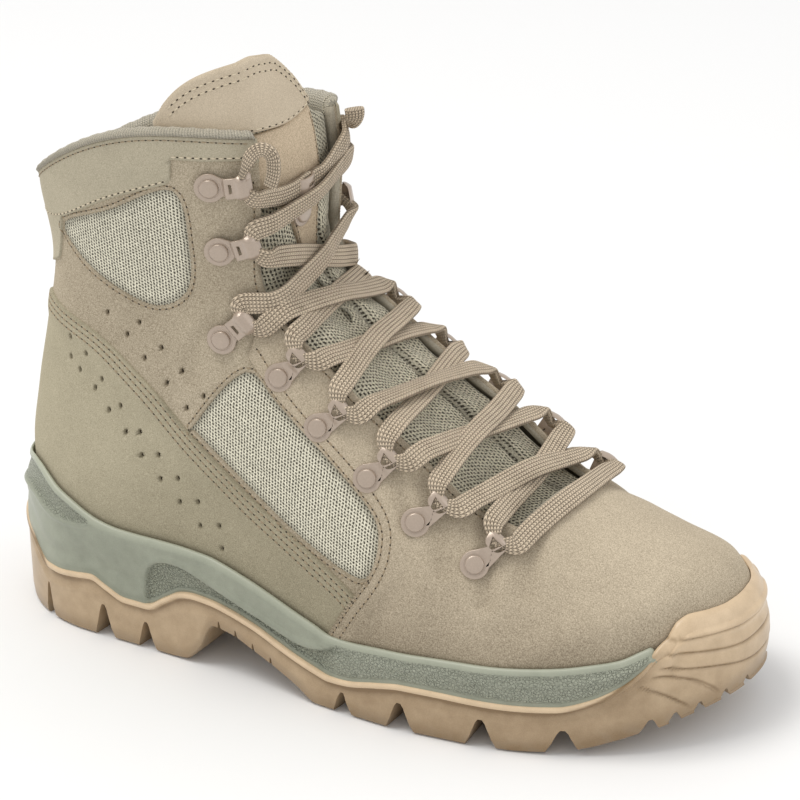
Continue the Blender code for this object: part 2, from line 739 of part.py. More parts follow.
class SoleEdge:
    """The feather line with what every ring of the sole is worked out from."""

    def __init__(self):
        self.base = sole_outline()
        self.normal = outline_normals(self.base)
        between = (np.roll(self.base, -1, axis=0) + np.roll(self.base, 1, axis=0)) / 2
        self.sag = np.linalg.norm(self.base - between, axis=1) / 3  # what a straight stretch cuts off a round
        self.x = self.base[:, 0]
        self.floor = self.base[:, 2]
        self.tree = panel_tree()
        self.toe = ease(RAND_START - 6, RAND_END, self.x)

    def height(self, name):
        return lookup(SOLE, SOLE_COLUMNS, name, self.x)

    def level(self, offset, height):
        """Ring at a distance out from the feather line."""
        out = self.base + self.normal * np.reshape(np.broadcast_to(offset, len(self.base)), (-1, 1))
        out[:, 2] = height
        return out

    def reach(self, height, window=0.0):
        """How far the panels on the upper stand out from the feather line, at most, near these heights."""
        begin = 40
        out = []
        for p, n, z in zip(self.base, self.normal, height):
            start = Vector((p[0] + begin * n[0], p[1] + begin * n[1], 0))
            most = -12.0
            for near in np.linspace(-window, window, 7 if window else 1):
                start.z = z + near
                hit, _, _, distance = self.tree.ray_cast(start, Vector((-n[0], -n[1], 0)), 2 * begin)
                if hit is not None:
                    most = max(most, begin - distance)
            out.append(most)
        return np.array(out)

    def on_panels(self, height, offset, window=0.0):
        """Ring where a level line meets the panels on the upper, moved out by offset."""
        return self.level(self.reach(height, window) + self.sag + offset, height)

    def side(self, offset, height, wall):
        """Ring of the outer side, no nearer to the panels than the wall's thickness."""
        return self.level(np.maximum(offset, self.reach(height) + CUP_GAP + wall), height)

    def cup(self, top, wall):
        """Rings of the inside of the cup, its rim and the outer edge of the rim."""
        bottom = self.floor - UNDER_FOOT
        rings = [self.level(-5.0, bottom), self.level(GAP + OVERLAY + CUP_GAP + self.sag, bottom)]
        for k in range(1, CUP_RINGS):
            rings.append(self.on_panels(bottom + (top - bottom) * k / CUP_RINGS, CUP_GAP, CUP_WINDOW))
        rings.append(self.on_panels(top, CUP_GAP + BEAD / 4))
        rings.append(self.on_panels(top + BEAD, CUP_GAP + wall / 2))
        rings.append(self.on_panels(top - 3 * BEAD, CUP_GAP + wall))
        return rings

    def join(self, ahead, lift):
        """Heights of the join of midsole and outsole: under the foot and at the edge."""
        x = self.x + ahead
        over_toe = 60 * ease(RAND_START, RAND_END, x)
        edge = lookup(SOLE, SOLE_COLUMNS, "parting", x) + over_toe + lift
        inside = np.minimum(edge, self.floor - CUP_FLOOR + over_toe + lift)
        return inside, edge


def blend(plain, toe, share):
    share = np.reshape(share, (-1, 1))
    return plain * (1 - share) + toe * share


def midsole_space(name, edge, ahead, lift, collection):
    """Everything over the join of midsole and outsole, which steps up to the edge of the sole."""
    inside, outside = edge.join(ahead, lift)
    beyond = 14
    rings = [
        edge.level(-9, inside),
        edge.level(JOIN_STEP - 0.1, inside),
        edge.level(JOIN_STEP + 0.1, outside),
        edge.level(beyond, outside),
        edge.level(beyond, 130),
    ]
    return ladder(name, rings, None, collection)


def make_midsole(edge, collection, cutters):
    parting = np.minimum(edge.height("parting"), 26)  # at the toe the join cuts the rest away
    rim = edge.height("cup_top")
    band = lookup(RECESS, RECESS_COLUMNS, "top", edge.x)
    step = RECESS_DEPTH * ease(60, 72, edge.x) * (1 - ease(146, 158, edge.x))
    low = np.minimum(parting - 2, edge.floor - CUP_FLOOR - 3)
    side = np.maximum(band, parting + 2.5)
    rings = edge.cup(rim, CUP_WALL) + [
        edge.side(6.6, (rim + side) / 2 + 1, CUP_WALL + 0.4),
        edge.side(6.6, side, CUP_WALL + 0.4),
        edge.side(6.5 - step, side - 0.8, CUP_WALL - 0.6),
        edge.level(6.0 - step / 2, parting - 1.0),
        edge.level(-9.0, low),
    ]
    obj = ladder("midsole", rings, sole_foam(), collection)
    boolean(obj, midsole_space("midsole_space", edge, GAP, GAP, cutters), "INTERSECT")


def make_outsole(edge, collection, cutters):
    toe = edge.toe
    parting = edge.height("parting")
    tread = edge.height("tread")
    rand = lookup(RAND, RAND_COLUMNS, "top", edge.x)
    middle = (rand + tread) / 2
    under_rib = parting - RIB
    bulge = edge.on_panels(rand - 7, CUP_GAP + RAND_WALL + 0.8, CUP_WINDOW)
    rings = edge.cup(rand, RAND_WALL) + [
        blend(edge.level(SOLE_OUT, parting + 6), bulge, toe),
        blend(edge.level(SOLE_OUT, parting + 3), edge.level(SOLE_OUT - 0.8, middle + 5), toe),
        blend(edge.level(SOLE_OUT, under_rib), edge.level(SOLE_OUT - 0.2, middle), toe),
        blend(edge.level(SOLE_OUT - 0.8, under_rib - 0.9), edge.level(SOLE_OUT - 0.2, middle - 5), toe),
        edge.level(SOLE_OUT - 1.2, tread + 4),
        edge.level(SOLE_OUT - 2.4, tread),
        edge.level(-LUG_REACH, tread),
        edge.level(-LUG_REACH - 2, tread + PLATE),
    ]
    obj = ladder("outsole", rings, sole_rubber(), collection)
    boolean(obj, midsole_space("outsole_cut", edge, 0, 0, cutters), "DIFFERENCE")
    boolean(obj, side_grooves(edge, cutters), "DIFFERENCE")
    boolean(obj, centre_lugs(cutters), "UNION")


def side_grooves(edge, cutters):
    """Blocks that cut the gaps between the lugs, square to the edge of the sole on each side."""
    blocks = bmesh.new()
    half = len(edge.base) // 2
    for x, width, depth in GROOVES:
        for ring in (slice(0, half + 1), slice(len(edge.base) - 1, half - 1, -1)):
            along_x = edge.base[ring, 0]
            y = np.interp(x, along_x, edge.base[ring, 1])
            normal = [np.interp(x, along_x, edge.normal[ring, i]) for i in range(2)]
            top = float(lookup(SOLE, SOLE_COLUMNS, "tread", x)) + depth
            reach = LUG_REACH + 1
            made = bmesh.ops.create_cube(blocks, size=MM)["verts"]
            bmesh.ops.scale(blocks, verts=made, vec=(2 * reach, width, top + 5))
            turn = Matrix.Rotation(math.atan2(normal[1], normal[0]), 3, "Z")
            bmesh.ops.rotate(blocks, verts=made, matrix=turn)
            bmesh.ops.translate(blocks, verts=made, vec=place((x, y, (top - 5) / 2)))
    return mesh_object("side_grooves", blocks, None, cutters)


def centre_lugs(cutters):
    blocks = bmesh.new()
    for x, y, length, width, turn in CENTRE_LUGS:
        height = PLATE + 1.0
        made = bmesh.ops.create_cube(blocks, size=MM)["verts"]
        bmesh.ops.scale(blocks, verts=made, vec=(length, width, height))
        bmesh.ops.rotate(blocks, verts=made, matrix=Matrix.Rotation(math.radians(turn), 3, "Z"))
        bmesh.ops.translate(blocks, verts=made, vec=place((x, y, height / 2)))
    return mesh_object("centre_lugs", blocks, None, cutters)


def make_insole(edge, collection):
    inset = -(WALL + 2.4)
    bottom = edge.floor - UNDER_FOOT + GAP
    rings = [edge.level(inset, bottom + INSOLE), edge.level(inset, bottom)]
    return ladder("insole", rings, board(), collection)


# ---------- tongue ----------

def tongue_value(name, section):
    return float(lookup(TONGUE, TONGUE_COLUMNS, name, section))


def tongue_row(section, offset, cells=4):
    """Points across the tongue; offset is from its outer face inwards."""
    half = tongue_value("half", section)
    sink = tongue_value("sink", section)
    throat = throat_half(min(section, COLLAR))
    halves = []
    for side in (LATERAL, MEDIAL):
        arcs = half * np.linspace(0, 1, cells + 1) ** 0.9
        dip = sink * np.clip(1 - (arcs / throat) ** 2, 0, 1)
        wall = wall_at(min(section, COLLAR)) + TONGUE_GAP
        thin = np.where(arcs > half - 0.5, 0.35, 1.0)
        centre = wall + dip + tongue_value("thickness", section) * (1 - thin) / 2
        halves.append(surface_row(section, side, arcs, -(centre + offset * thin)))
    return np.concatenate([halves[0][::-1], halves[1][1:]])


def tongue_sections():
    return np.concatenate([np.linspace(4.1, 14.5, 16), (15.0, 15.5, 15.85, 16.0)])


def make_tongue(collection):
    sections = tongue_sections()
    outer = np.array([tongue_row(t, 0) for t in sections])
    inner = np.array([tongue_row(t, tongue_value("thickness", t)) for t in sections])
    bm = slab(outer, inner, lambda i, j: True)
    return mesh_object("tongue", bm, mesh_cloth(), collection)


# ---------- collar binding and heel strip ----------

def tube(name, points, radius, mat, collection, resolution=1):
    curve = bpy.data.curves.new(name, "CURVE")
    curve.dimensions = "3D"
    curve.bevel_depth = radius * MM
    curve.bevel_resolution = resolution
    curve.use_fill_caps = True
    spline = curve.splines.new("POLY")
    spline.points.add(len(points) - 1)
    for point, where in zip(spline.points, points):
        point.co = (*place(where), 1)
    guide = bpy.data.objects.new(name + "_guide", curve)
    collection.objects.link(guide)
    graph = bpy.context.evaluated_depsgraph_get()
    mesh = bpy.data.meshes.new_from_object(guide.evaluated_get(graph))
    bpy.data.objects.remove(guide)
    bm = bmesh.new()
    bm.from_mesh(mesh)
    bpy.data.meshes.remove(mesh)
    return mesh_object(name, bm, mat, collection)


def make_collar_binding(collection):
    """Knitted roll that sits on the collar's edge, round the back."""
    middle = (GAP + OVERLAY - wall_at(COLLAR)) / 2
    route = whole_row(COLLAR, middle)
    ahead = whole_row(COLLAR + 0.1, middle)
    up = ahead - route
    up /= np.linalg.norm(up, axis=1, keepdims=True)
    route = route + up * (BINDING_RADIUS + 1.5 * GAP)
    edge = ARCS_ON_SIDE
    lateral = route[:edge + 1]
    medial = route[len(route) - edge - 1:]
    line = np.concatenate([lateral[::-1], medial[::-1][1:]])
    run = arcs_of(line)
    line = along(line, np.linspace(0, run[-1], BINDING_POINTS))
    return tube("collar_binding", line, BINDING_RADIUS, knit(), collection)


def make_heel_strip(collection, cutters):
    obj = overlay_slab("heel_strip", strip_cloth(), collection, rows=(HEEL_SECTION, 14))
    ends = (BEYOND_BACK, 60)
    outline = [(ends[0], 20), (ends[1], 20), (ends[1], STRIP_TOP), (ends[0], STRIP_TOP)]
    reach = BACK_SEAM - GAP
    boolean(obj, prism("strip_blank", [(-reach, outline), (reach, outline)], cutters), "INTERSECT")


# ---------- lace hardware ----------

def ring_outline():
    """Plate round the rivet and the tab with its lace hole, in the plate's own plane."""
    start = math.radians(40)
    angles = np.linspace(start, 2 * math.pi - start, 8)
    plate = [(RIVET_RADIUS * math.cos(a), RIVET_RADIUS * math.sin(a)) for a in angles]
    half = TIP_WIDTH / 2
    tab = [(NECK, -half * 0.8), (TAB_END, -half), (TAB_END, half), (NECK, half * 0.8)]
    far = TAB_END - 1.7
    hole = [(NECK, half * 0.4), (far, half * 0.6), (far, -half * 0.6), (NECK, -half * 0.4)]
    return plate + tab, hole


def flat_piece(name, outer, hole, thickness):
    curve = bpy.data.curves.new(name, "CURVE")
    curve.dimensions = "2D"
    curve.fill_mode = "BOTH"
    curve.extrude = thickness / 2 * MM
    for loop in (outer, hole):
        spline = curve.splines.new("POLY")
        spline.points.add(len(loop) - 1)
        for point, where in zip(spline.points, loop):
            point.co = (where[0] * MM, where[1] * MM, 0, 1)
        spline.use_cyclic_u = True
    guide = bpy.data.objects.new(name + "_guide", curve)
    bpy.context.scene.collection.objects.link(guide)
    graph = bpy.context.evaluated_depsgraph_get()
    mesh = bpy.data.meshes.new_from_object(guide.evaluated_get(graph))
    bpy.data.objects.remove(guide)
    bm = bmesh.new()
    bm.from_mesh(mesh)
    bpy.data.meshes.remove(mesh)
    bmesh.ops.remove_doubles(bm, verts=bm.verts, dist=0.00001)
    return bm


def make_ring(name, spot, normal, ahead, collection):
    outer, hole = ring_outline()
    bm = flat_piece(name, outer, hole, PLATE_THICKNESS)
    across = normal.cross(ahead)
    middle = Vector(place(spot)) + normal * (PLATE_THICKNESS / 2) * MM
    for v in bm.verts:
        run = v.co.x / MM
        up = v.co.z / MM + TIP_LIFT * float(ease(RIVET_RADIUS - 0.5, TAB_END - 3.5, run))
        v.co = middle + (ahead * run + across * (v.co.y / MM) + normal * up) * MM
    return mesh_object(name, bm, painted_metal(), collection)


def hardware_frame(number, side):
    """Place, surface normal and direction of the tip of one piece of lace hardware."""
    row = dict(zip(HARDWARE_COLUMNS, HARDWARE[number]))
    offset = GAP + OVERLAY + 1.5 * GAP  # a flat plate on a round panel needs more than a bare gap
    here = surface_row(row["section"], side, [row["arc"]], offset)[0]
    above = surface_row(row["section"], side, [row["arc"]], offset + 1)[0]
    tip = surface_row(row["tip_section"], side, [row["tip_arc"]], offset)[0]
    normal = Vector(above - here).normalized()
    ahead = Vector(tip - here)
    return Vector(here), normal, (ahead - normal * ahead.dot(normal)).normalized()


def make_hardware(collection):
    for side in (LATERAL, MEDIAL):
        for number in range(len(HARDWARE)):
            name = "lace_ring_%s_%d" % (side_name(side), number + 1)
            make_ring(name, *hardware_frame(number, side), collection)
    make_ring("tongue_ring", *keeper_frame(), collection)


# ---------- laces ----------

def ring_end(number, side, which):
    """Where a lace leaves a ring: which is -1 on the toe's side of the tip and 1 on the other."""
    spot, normal, ahead = hardware_frame(number, side)
    across = normal.cross(ahead)
    if across.dot(Vector((-1, 0, 1))) < 0:
        across = -across
    tip = spot + ahead * (TAB_END + LACE_STAND_OFF) + normal * (TIP_LIFT + PLATE_THICKNESS / 2)
    return tip + across * (LACE_APART * which), normal


def keeper_frame():
    """The ring riveted to the front of the tongue, its tab upwards."""
    def on_tongue(section):
        arcs = [KEEPER_ARC]
        sink = tongue_value("sink", section) * (1 - (KEEPER_ARC / throat_half(section)) ** 2)
        depth = wall_at(section) + TONGUE_GAP + sink - GAP - 0.6
        return surface_row(section, LATERAL, arcs, -depth)[0]

    here = on_tongue(KEEPER_SECTION)
    above = on_tongue(KEEPER_SECTION + 0.5)
    side = surface_row(KEEPER_SECTION, LATERAL, [KEEPER_ARC + 2], -10)[0]
    middle = surface_row(KEEPER_SECTION, LATERAL, [KEEPER_ARC - 2], -10)[0]
    ahead = Vector(above - here).normalized()
    normal = Vector(side - middle).cross(ahead).normalized()
    if normal.x < 0:
        normal = -normal
    return Vector(here), normal, ahead


def lace_rests():
    """Ray target for what the laces lie on: the panels beside the throat, and the tongue."""
    points = []
    faces = []
    grids = (
        (last_grid(GAP + OVERLAY), covers(grid_sections())),
        (np.array([tongue_row(t, 0) for t in tongue_sections()]), lambda i, j: True),
    )
    for grid, keep in grids:
        first = len(points)
        rows, columns = grid.shape[:2]
        points += [Vector(p) for p in grid.reshape(-1, 3)]
        for i in range(rows - 1):
            for j in range(columns - 1):
                a = first + i * columns + j
                if keep(i, j):
                    faces.append((a, a + 1, a + columns + 1, a + columns))
    return BVHTree.FromPolygons(points, faces)


def pulled_tight(rests, start, end, up, across, props):
    """Heights over the straight line from start to end of a lace pulled tight over its rests."""
    way = end - start
    stops = [(0.0, 0.0), (1.0, 0.0)]
    for prop in props:
        offset = prop - start
        share = offset.dot(way) / way.length_squared
        stops.append((share, offset.dot(up) + LACE_THICKNESS / 2 + LACE_CLEARANCE))
    for share in np.linspace(0.03, 0.97, 60):
        for shift in (-1, 0, 1):
            point = start + way * share + across * (shift * LACE_WIDTH / 2)
            hit, _, _, distance = rests.ray_cast(point + up * 30, -up, 60)
            if hit is not None:
                stops.append((share, 30 - distance + LACE_THICKNESS / 2 + LACE_CLEARANCE))
    hull = []
    for stop in sorted(stops):
        while len(hull) > 1 and turns_up(hull[-2], hull[-1], stop):
            hull.pop()
        hull.append(stop)
    return np.array(hull)


def turns_up(a, b, c):
    return (b[0] - a[0]) * (c[1] - a[1]) - (b[1] - a[1]) * (c[0] - a[0]) >= 0


def ribbon(name, rests, start, end, mat, collection, props=()):
    """Flat lace from start to end, each a place and the surface's normal there."""
    way = (end[0] - start[0]).normalized()
    up = start[1] + end[1]
    up = (up - way * up.dot(way)).normalized()
    across = way.cross(up)
    hull = pulled_tight(rests, start[0], end[0], up, across, props)
    bm = bmesh.new()
    rings = []
    for share in LACE_SHARES:
        height = float(np.interp(share, hull[:, 0], hull[:, 1]))
        point = start[0].lerp(end[0], share) + up * height
        half = LACE_WIDTH / 2 * (LACE_PINCH + (1 - LACE_PINCH) * min(1, 4 * share, 4 * (1 - share)))
        thick = LACE_THICKNESS / 2
        corners = ((half, thick), (-half, thick), (-half, -thick), (half, -thick))
        rings.append([bm.verts.new(place(point + across * y + up * z)) for y, z in corners])
    count = len(rings[0])
    for a, b in zip(rings, rings[1:]):
        for j in range(count):
            n = (j + 1) % count
            bm.faces.new((a[j], a[n], b[n], b[j]))
    bm.faces.new(rings[0][::-1])
    bm.faces.new(rings[-1])
    return mesh_object(name, bm, mat, collection)


def make_laces(collection, cutters):
    rests = lace_rests()
    spot, normal, ahead = keeper_frame()
    across = normal.cross(ahead)
    tab = spot + ahead * KEEPER_HOLE + normal * (TIP_LIFT + PLATE_THICKNESS / 2)
    apart = TIP_WIDTH / 2 + LACE_STAND_OFF
    ribbon("lace_bar", rests, ring_end(0, LATERAL, -1), ring_end(0, MEDIAL, -1), lace_cord(), collection)
    last = len(HARDWARE) - 1
    for k in range(last):
        name = "lace_crossing_%d" % (k + 1)
        low = (ring_end(k, LATERAL, 1), ring_end(k + 1, MEDIAL, -1))
        if k < last - 1:
            one = ribbon(name, rests, *low, lace_cord(), collection)
            high = (ring_end(k + 1, LATERAL, -1), ring_end(k, MEDIAL, 1))
        else:
            # The top one passes over the tongue's ring, and the other lace comes out of that ring.
            props = [spot + ahead * run + normal * (TIP_LIFT + PLATE_THICKNESS) for run in (4, TAB_END)]
            one = ribbon(name, rests, *low, lace_cord(), collection, props)
            high = ((tab - across * apart, normal), ring_end(last, MEDIAL, 1))
        boolean(one, ribbon(name + "_other", rests, *high, None, cutters), "UNION")
    to_ring = (tab + across * apart, normal)
    ribbon("lace_top", rests, ring_end(last, LATERAL, -1), to_ring, lace_cord(), collection)
    for side, points in ((LATERAL, LATERAL_END), (MEDIAL, MEDIAL_END)):
        tube("lace_end_" + side_name(side), points, LACE_THICKNESS * 0.8, lace_cord(), collection, 2)


# ---------- the boot ----------

def clear_scene():
    for obj in list(bpy.data.objects):
        bpy.data.objects.remove(obj)


def build():
    clear_scene()
    boot = bpy.data.collections.new("desert_hiking_boot")
    cutters = bpy.data.collections.new("cutters")
    cutters.hide_render = True
    for collection in (boot, cutters):
        bpy.context.scene.collection.children.link(collection)
    edge = SoleEdge()
    make_outsole(edge, boot, cutters)
    make_midsole(edge, boot, cutters)
    make_upper(boot)
    make_insole(edge, boot)
    make_tongue(boot)
    make_vamp(boot, cutters)
    make_side_panels(boot, cutters)
    make_collar_binding(boot)
    make_heel_strip(boot, cutters)
    make_hardware(boot)
    make_laces(boot, cutters)


build()
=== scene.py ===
# Desert hiking boot, right foot. Lengths here are in mm on the last's own axes:
# x from the heel, y to the inner side of the foot, z up. toFrame() puts them in the part's frame.
import math

import bmesh
import bpy
import numpy as np
from mathutils import Matrix, Vector, geometry
from mathutils.bvhtree import BVHTree
from mathutils.kdtree import KDTree


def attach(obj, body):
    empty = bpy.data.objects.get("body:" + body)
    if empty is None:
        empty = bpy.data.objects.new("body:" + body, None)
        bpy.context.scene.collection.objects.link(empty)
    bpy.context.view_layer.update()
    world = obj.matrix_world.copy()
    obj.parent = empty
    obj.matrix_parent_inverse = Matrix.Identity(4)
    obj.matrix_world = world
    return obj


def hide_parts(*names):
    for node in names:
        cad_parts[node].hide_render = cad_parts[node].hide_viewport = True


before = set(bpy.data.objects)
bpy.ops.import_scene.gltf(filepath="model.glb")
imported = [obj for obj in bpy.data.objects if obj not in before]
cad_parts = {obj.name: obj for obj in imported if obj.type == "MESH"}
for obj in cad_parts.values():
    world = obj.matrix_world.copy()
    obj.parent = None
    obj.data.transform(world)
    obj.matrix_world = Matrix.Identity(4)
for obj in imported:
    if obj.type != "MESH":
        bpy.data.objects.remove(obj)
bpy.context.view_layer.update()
print("frame loaded", len(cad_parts), "nodes")

mm = 0.001
origin = np.array([145.2, 7.0, 0.0])  # where the part's origin is on the last's axes


def toFrame(points):
    return (np.asarray(points, float) - origin) * mm


def smooth(xs, ys, x):
    # monotone cubic, level beyond its ends
    xs = np.asarray(xs, float)
    ys = np.asarray(ys, float)
    x = np.clip(np.asarray(x, float), xs[0], xs[-1])
    step = np.diff(xs)
    rate = np.diff(ys) / step
    slope = np.zeros(len(xs))
    for i in range(1, len(xs) - 1):
        if rate[i - 1] * rate[i] > 0:
            before = 2 * step[i] + step[i - 1]
            after = step[i] + 2 * step[i - 1]
            slope[i] = (before + after) / (before / rate[i - 1] + after / rate[i])
    slope[0] = rate[0]
    slope[-1] = rate[-1]
    i = np.clip(np.searchsorted(xs, x, side="right") - 1, 0, len(step) - 1)
    k = (x - xs[i]) / step[i]
    bend = step[i] * (slope[i] * k * (1 - k) ** 2 + slope[i + 1] * k * k * (k - 1))
    return ys[i] * (1 + 2 * k) * (1 - k) ** 2 + ys[i + 1] * k * k * (3 - 2 * k) + bend


def table(rows, x, column=1):
    rows = np.array(rows, float)
    return smooth(rows[:, 0], rows[:, column], x)


def ease(low, high, x):
    k = np.clip((np.asarray(x, float) - low) / (high - low), 0, 1)
    return k * k * (3 - 2 * k)


def arcsOf(points):
    return np.concatenate([[0], np.cumsum(np.linalg.norm(np.diff(points, axis=0), axis=1))])


def rowsOf(*columns):
    # points from their columns; a single value fills its column
    return np.stack(np.broadcast_arrays(*columns), axis=1)


def unit(v):
    return v / np.maximum(np.linalg.norm(v, axis=-1, keepdims=True), 1e-9)


def spline(points, steps=8):
    # Catmull-Rom through the points
    p = np.array(points, float)
    ends = np.concatenate([[2 * p[0] - p[1]], p, [2 * p[-1] - p[-2]]])
    out = []
    for i in range(1, len(ends) - 2):
        k = (np.arange(steps) / steps)[:, None]
        a, b, c, d = ends[i - 1: i + 3]
        out.append(0.5 * (2 * b + (c - a) * k + (2 * a - 5 * b + 4 * c - d) * k * k
                          + (3 * b - a - 3 * c + d) * k ** 3))
    return np.concatenate(out + [p[-1:]])


# the last: one row for each section, from a point on the front to the feather line or the back
lastShape = {
    "frontX": (292, 290, 282, 260, 234, 210, 187, 167, 153, 143, 137, 134, 132, 131, 130, 128, 122),
    "frontZ": (37, 46, 58, 67, 78, 90, 112, 130, 144, 154, 162, 169, 177, 187, 199, 215, 241),
    "backX": (214, 211, 208, 205, 201, 192, 158, 114, 70, 34, -2, -2, 3, 11, 17, 14, 14),
    "backZ": (25, 25, 25, 25, 25, 25, 27, 30, 32, 33, 34, 62, 92, 124, 154, 180, 204),
    "lateral": (50, 50.5, 51, 51, 51, 51, 47, 42, 39, 38, 37, 36, 35, 36, 38, 40, 40),
    "medial": (49, 49.5, 51, 52, 51, 50, 46, 41, 39, 38, 37, 36, 35, 36, 37, 37, 37),
    "widest": (0, 0.06, 0.14, 0.22, 0.26, 0.28, 0.31, 0.35, 0.39, 0.43, 0.46, 0.5, 0.5, 0.5, 0.5, 0.5, 0.5),
    "lateralPower": (2, 2, 2, 1.9, 1.85, 1.9, 2.1, 2.35, 2.5, 2.5, 2.5, 2.5, 2.5, 2.5, 2.5, 2.5, 2.5),
    "medialPower": (2.35, 2.35, 2.3, 2.1, 2, 2, 2.2, 2.4, 2.5, 2.5, 2.5, 2.5, 2.5, 2.5, 2.5, 2.5, 2.5),
    "lateralRise": (0, 0, 0, 0, 0, 0, 0, 0, 0, 0, 0, 1, 3, 6, 11, 18, 18),
    "medialRise": (0, 0, 0, 0, 0, 0, 0, 0, 0, 0, 0, 1, 2, 3, 5, 7, 7),
}
lastFit = {
    "heelStart": -2.0, "heelEnd": 40.0, "heelSection": 10, "toeSwing": 13.0, "skew": 0.15,
    "lowerPower": 2.25,
    "feather": ((40, 32.5, 33.0), (80, 34.5, 33.0), (120, 38.0, 34.0), (160, 45.0, 42.0),
                (192, 49.5, 48.5), (214, 50.0, 49.0)),
    "throat": ((4.4, 24), (5, 28), (6, 30), (7, 31), (9, 32), (11, 34), (13, 30), (15, 28)),
    "throatStart": 4.5, "collar": 15.0, "wall": 2.2, "collarWall": 3.4,
}
sideNames = {-1: "lateral", 1: "medial"}


def featherHalf(x, side):
    half = table(lastFit["feather"], x, 1 if side < 0 else 2)
    start, end = lastFit["heelStart"], lastFit["heelEnd"]
    k = np.clip((end - np.asarray(x, float)) / (end - start), 0, 1)
    return half * np.sqrt(1 - k * k)


def turnFoot(p):
    out = np.array(p, float)
    x = out[..., 0].copy()
    y = out[..., 1].copy()
    out[..., 0] = x + lastFit["skew"] * y * ease(30, 140, x)
    out[..., 1] = y + lastFit["toeSwing"] * np.clip((ease(120, 290, x) + (x - 120) / 170) / 2, 0, 1.2)
    return out


def halfSection(t, side, samples=90):
    row = {key: float(smooth(np.arange(17), values, t)) for key, values in lastShape.items()}
    width = row[sideNames[side]]
    power = row[sideNames[side] + "Power"]
    foot = min(float(featherHalf(row["backX"], side)), width) if t < lastFit["heelSection"] else 0.0
    angle = np.linspace(0, math.pi / 2, samples)
    share = row["widest"] + (1 - row["widest"]) * np.cos(angle) ** (2 / power)
    y = width * np.sin(angle) ** (2 / power)
    if row["widest"] > 1e-3:
        low = lastFit["lowerPower"]
        share = np.concatenate([share, (row["widest"] * (1 - np.sin(angle) ** (2 / low)))[1:]])
        y = np.concatenate([y, (foot + (width - foot) * np.cos(angle) ** (2 / low))[1:]])
    run = row["frontX"] - row["backX"]
    climb = row["frontZ"] - row["backZ"]
    length = math.hypot(run, climb)
    lift = row[sideNames[side] + "Rise"] * np.sin(math.pi * np.clip(share, 0, 1)) ** 0.8
    x = row["backX"] + run * share - climb / length * lift
    z = row["backZ"] + climb * share + run / length * lift
    return turnFoot(rowsOf(x, side * y, z))


def spread(at, run, columns):
    # each column of a table of points, read at new places along its run
    return np.stack([np.interp(at, run, column) for column in np.asarray(columns).T], axis=-1)


def along(points, at):
    return spread(at, arcsOf(points), points)


def samplerOf(ts, vs, grid, outward):
    # bilinear lookup of a grid of points and of its normals
    dt = np.gradient(grid, ts, axis=0)
    dv = np.gradient(grid, vs, axis=1)
    normals = unit(np.cross(dv, dt))
    normals *= np.sign((normals * outward).sum(axis=2, keepdims=True))
    return {"ts": ts, "vs": vs, "grid": grid, "normals": normals}


def sample(s, t, v):
    ts, vs = s["ts"], s["vs"]
    t = np.clip(t, ts[0], ts[-1])
    v = np.clip(v, vs[0], vs[-1])
    i = np.clip(np.searchsorted(ts, t, side="right") - 1, 0, len(ts) - 2)
    j = np.clip(np.searchsorted(vs, v, side="right") - 1, 0, len(vs) - 2)
    k = ((t - ts[i]) / (ts[i + 1] - ts[i]))[:, None]
    m = ((v - vs[j]) / (vs[j + 1] - vs[j]))[:, None]

    def mix(g):
        here = g[i, j] * (1 - m) + g[i, j + 1] * m
        there = g[i + 1, j] * (1 - m) + g[i + 1, j + 1] * m
        return here * (1 - k) + there * k

    return mix(s["grid"]), unit(mix(s["normals"]))


# domain of the upper: u is 20 for each section, v is 120 for the whole run of one side, lateral first
uScale = 20.0
vScale = 120.0


def softened(ts, vs, grid):
    # eases the turn where the sections leave the feather line for the back of the heel
    reach = 0.8
    total = np.zeros_like(grid)
    weights = 0.0
    for shift in np.linspace(-reach, reach, 17):
        t = np.clip(ts + shift, ts[0], ts[-1])
        i = np.clip(np.searchsorted(ts, t, side="right") - 1, 0, len(ts) - 2)
        k = ((t - ts[i]) / (ts[i + 1] - ts[i]))[:, None, None]
        weight = math.exp(-(2 * shift / reach) ** 2)
        total += weight * (grid[i] * (1 - k) + grid[i + 1] * k)
        weights += weight
    share = ease(8.8, 9.6, ts) * ease(11.4, 10.6, ts)
    share = share[:, None] * ease(0.985, 0.9, np.abs(vs))[None, :]
    return grid + (total / weights - grid) * share[:, :, None]


def buildSkin():
    ts = np.unique(np.round(np.concatenate([np.arange(0, 16.001, 0.1), 10 - np.linspace(0, 1, 14) ** 2]), 5))
    shares = np.linspace(0, 1, 97)
    rows = []
    lengths = {-1: [], 1: []}
    for t in ts:
        halves = {}
        for side in (-1, 1):
            line = halfSection(t, side)
            full = arcsOf(line)[-1]
            lengths[side].append(full)
            halves[side] = along(line, shares * full)
        rows.append(np.concatenate([halves[-1][::-1], halves[1][1:]]))
    vs = np.concatenate([-shares[::-1], shares[1:]])
    grid = softened(ts, vs, np.array(rows))
    middle = grid.mean(axis=1, keepdims=True)
    skin = samplerOf(ts, vs, grid, grid - middle)
    # the lower ends: level round the sole, up the back over the heel
    dt = np.gradient(grid, ts, axis=0)
    heel = ts >= lastFit["heelSection"] - 1e-6
    normals = skin["normals"]
    for column, side in ((0, -1), (-1, 1)):
        across = np.where(heel[:, None], (0, -side, 0), (0, 0, -1))
        normals[:, column] = unit(np.cross(across, dt[:, column]) * side)
    normals[heel, 0] = normals[heel, -1] = unit(normals[heel, 0] + normals[heel, -1])
    skin["full"] = {side: np.array(values) for side, values in lengths.items()}
    return skin


skin = buildSkin()


def upperAt(uv):
    return sample(skin, uv[:, 0] / uScale, uv[:, 1] / vScale)


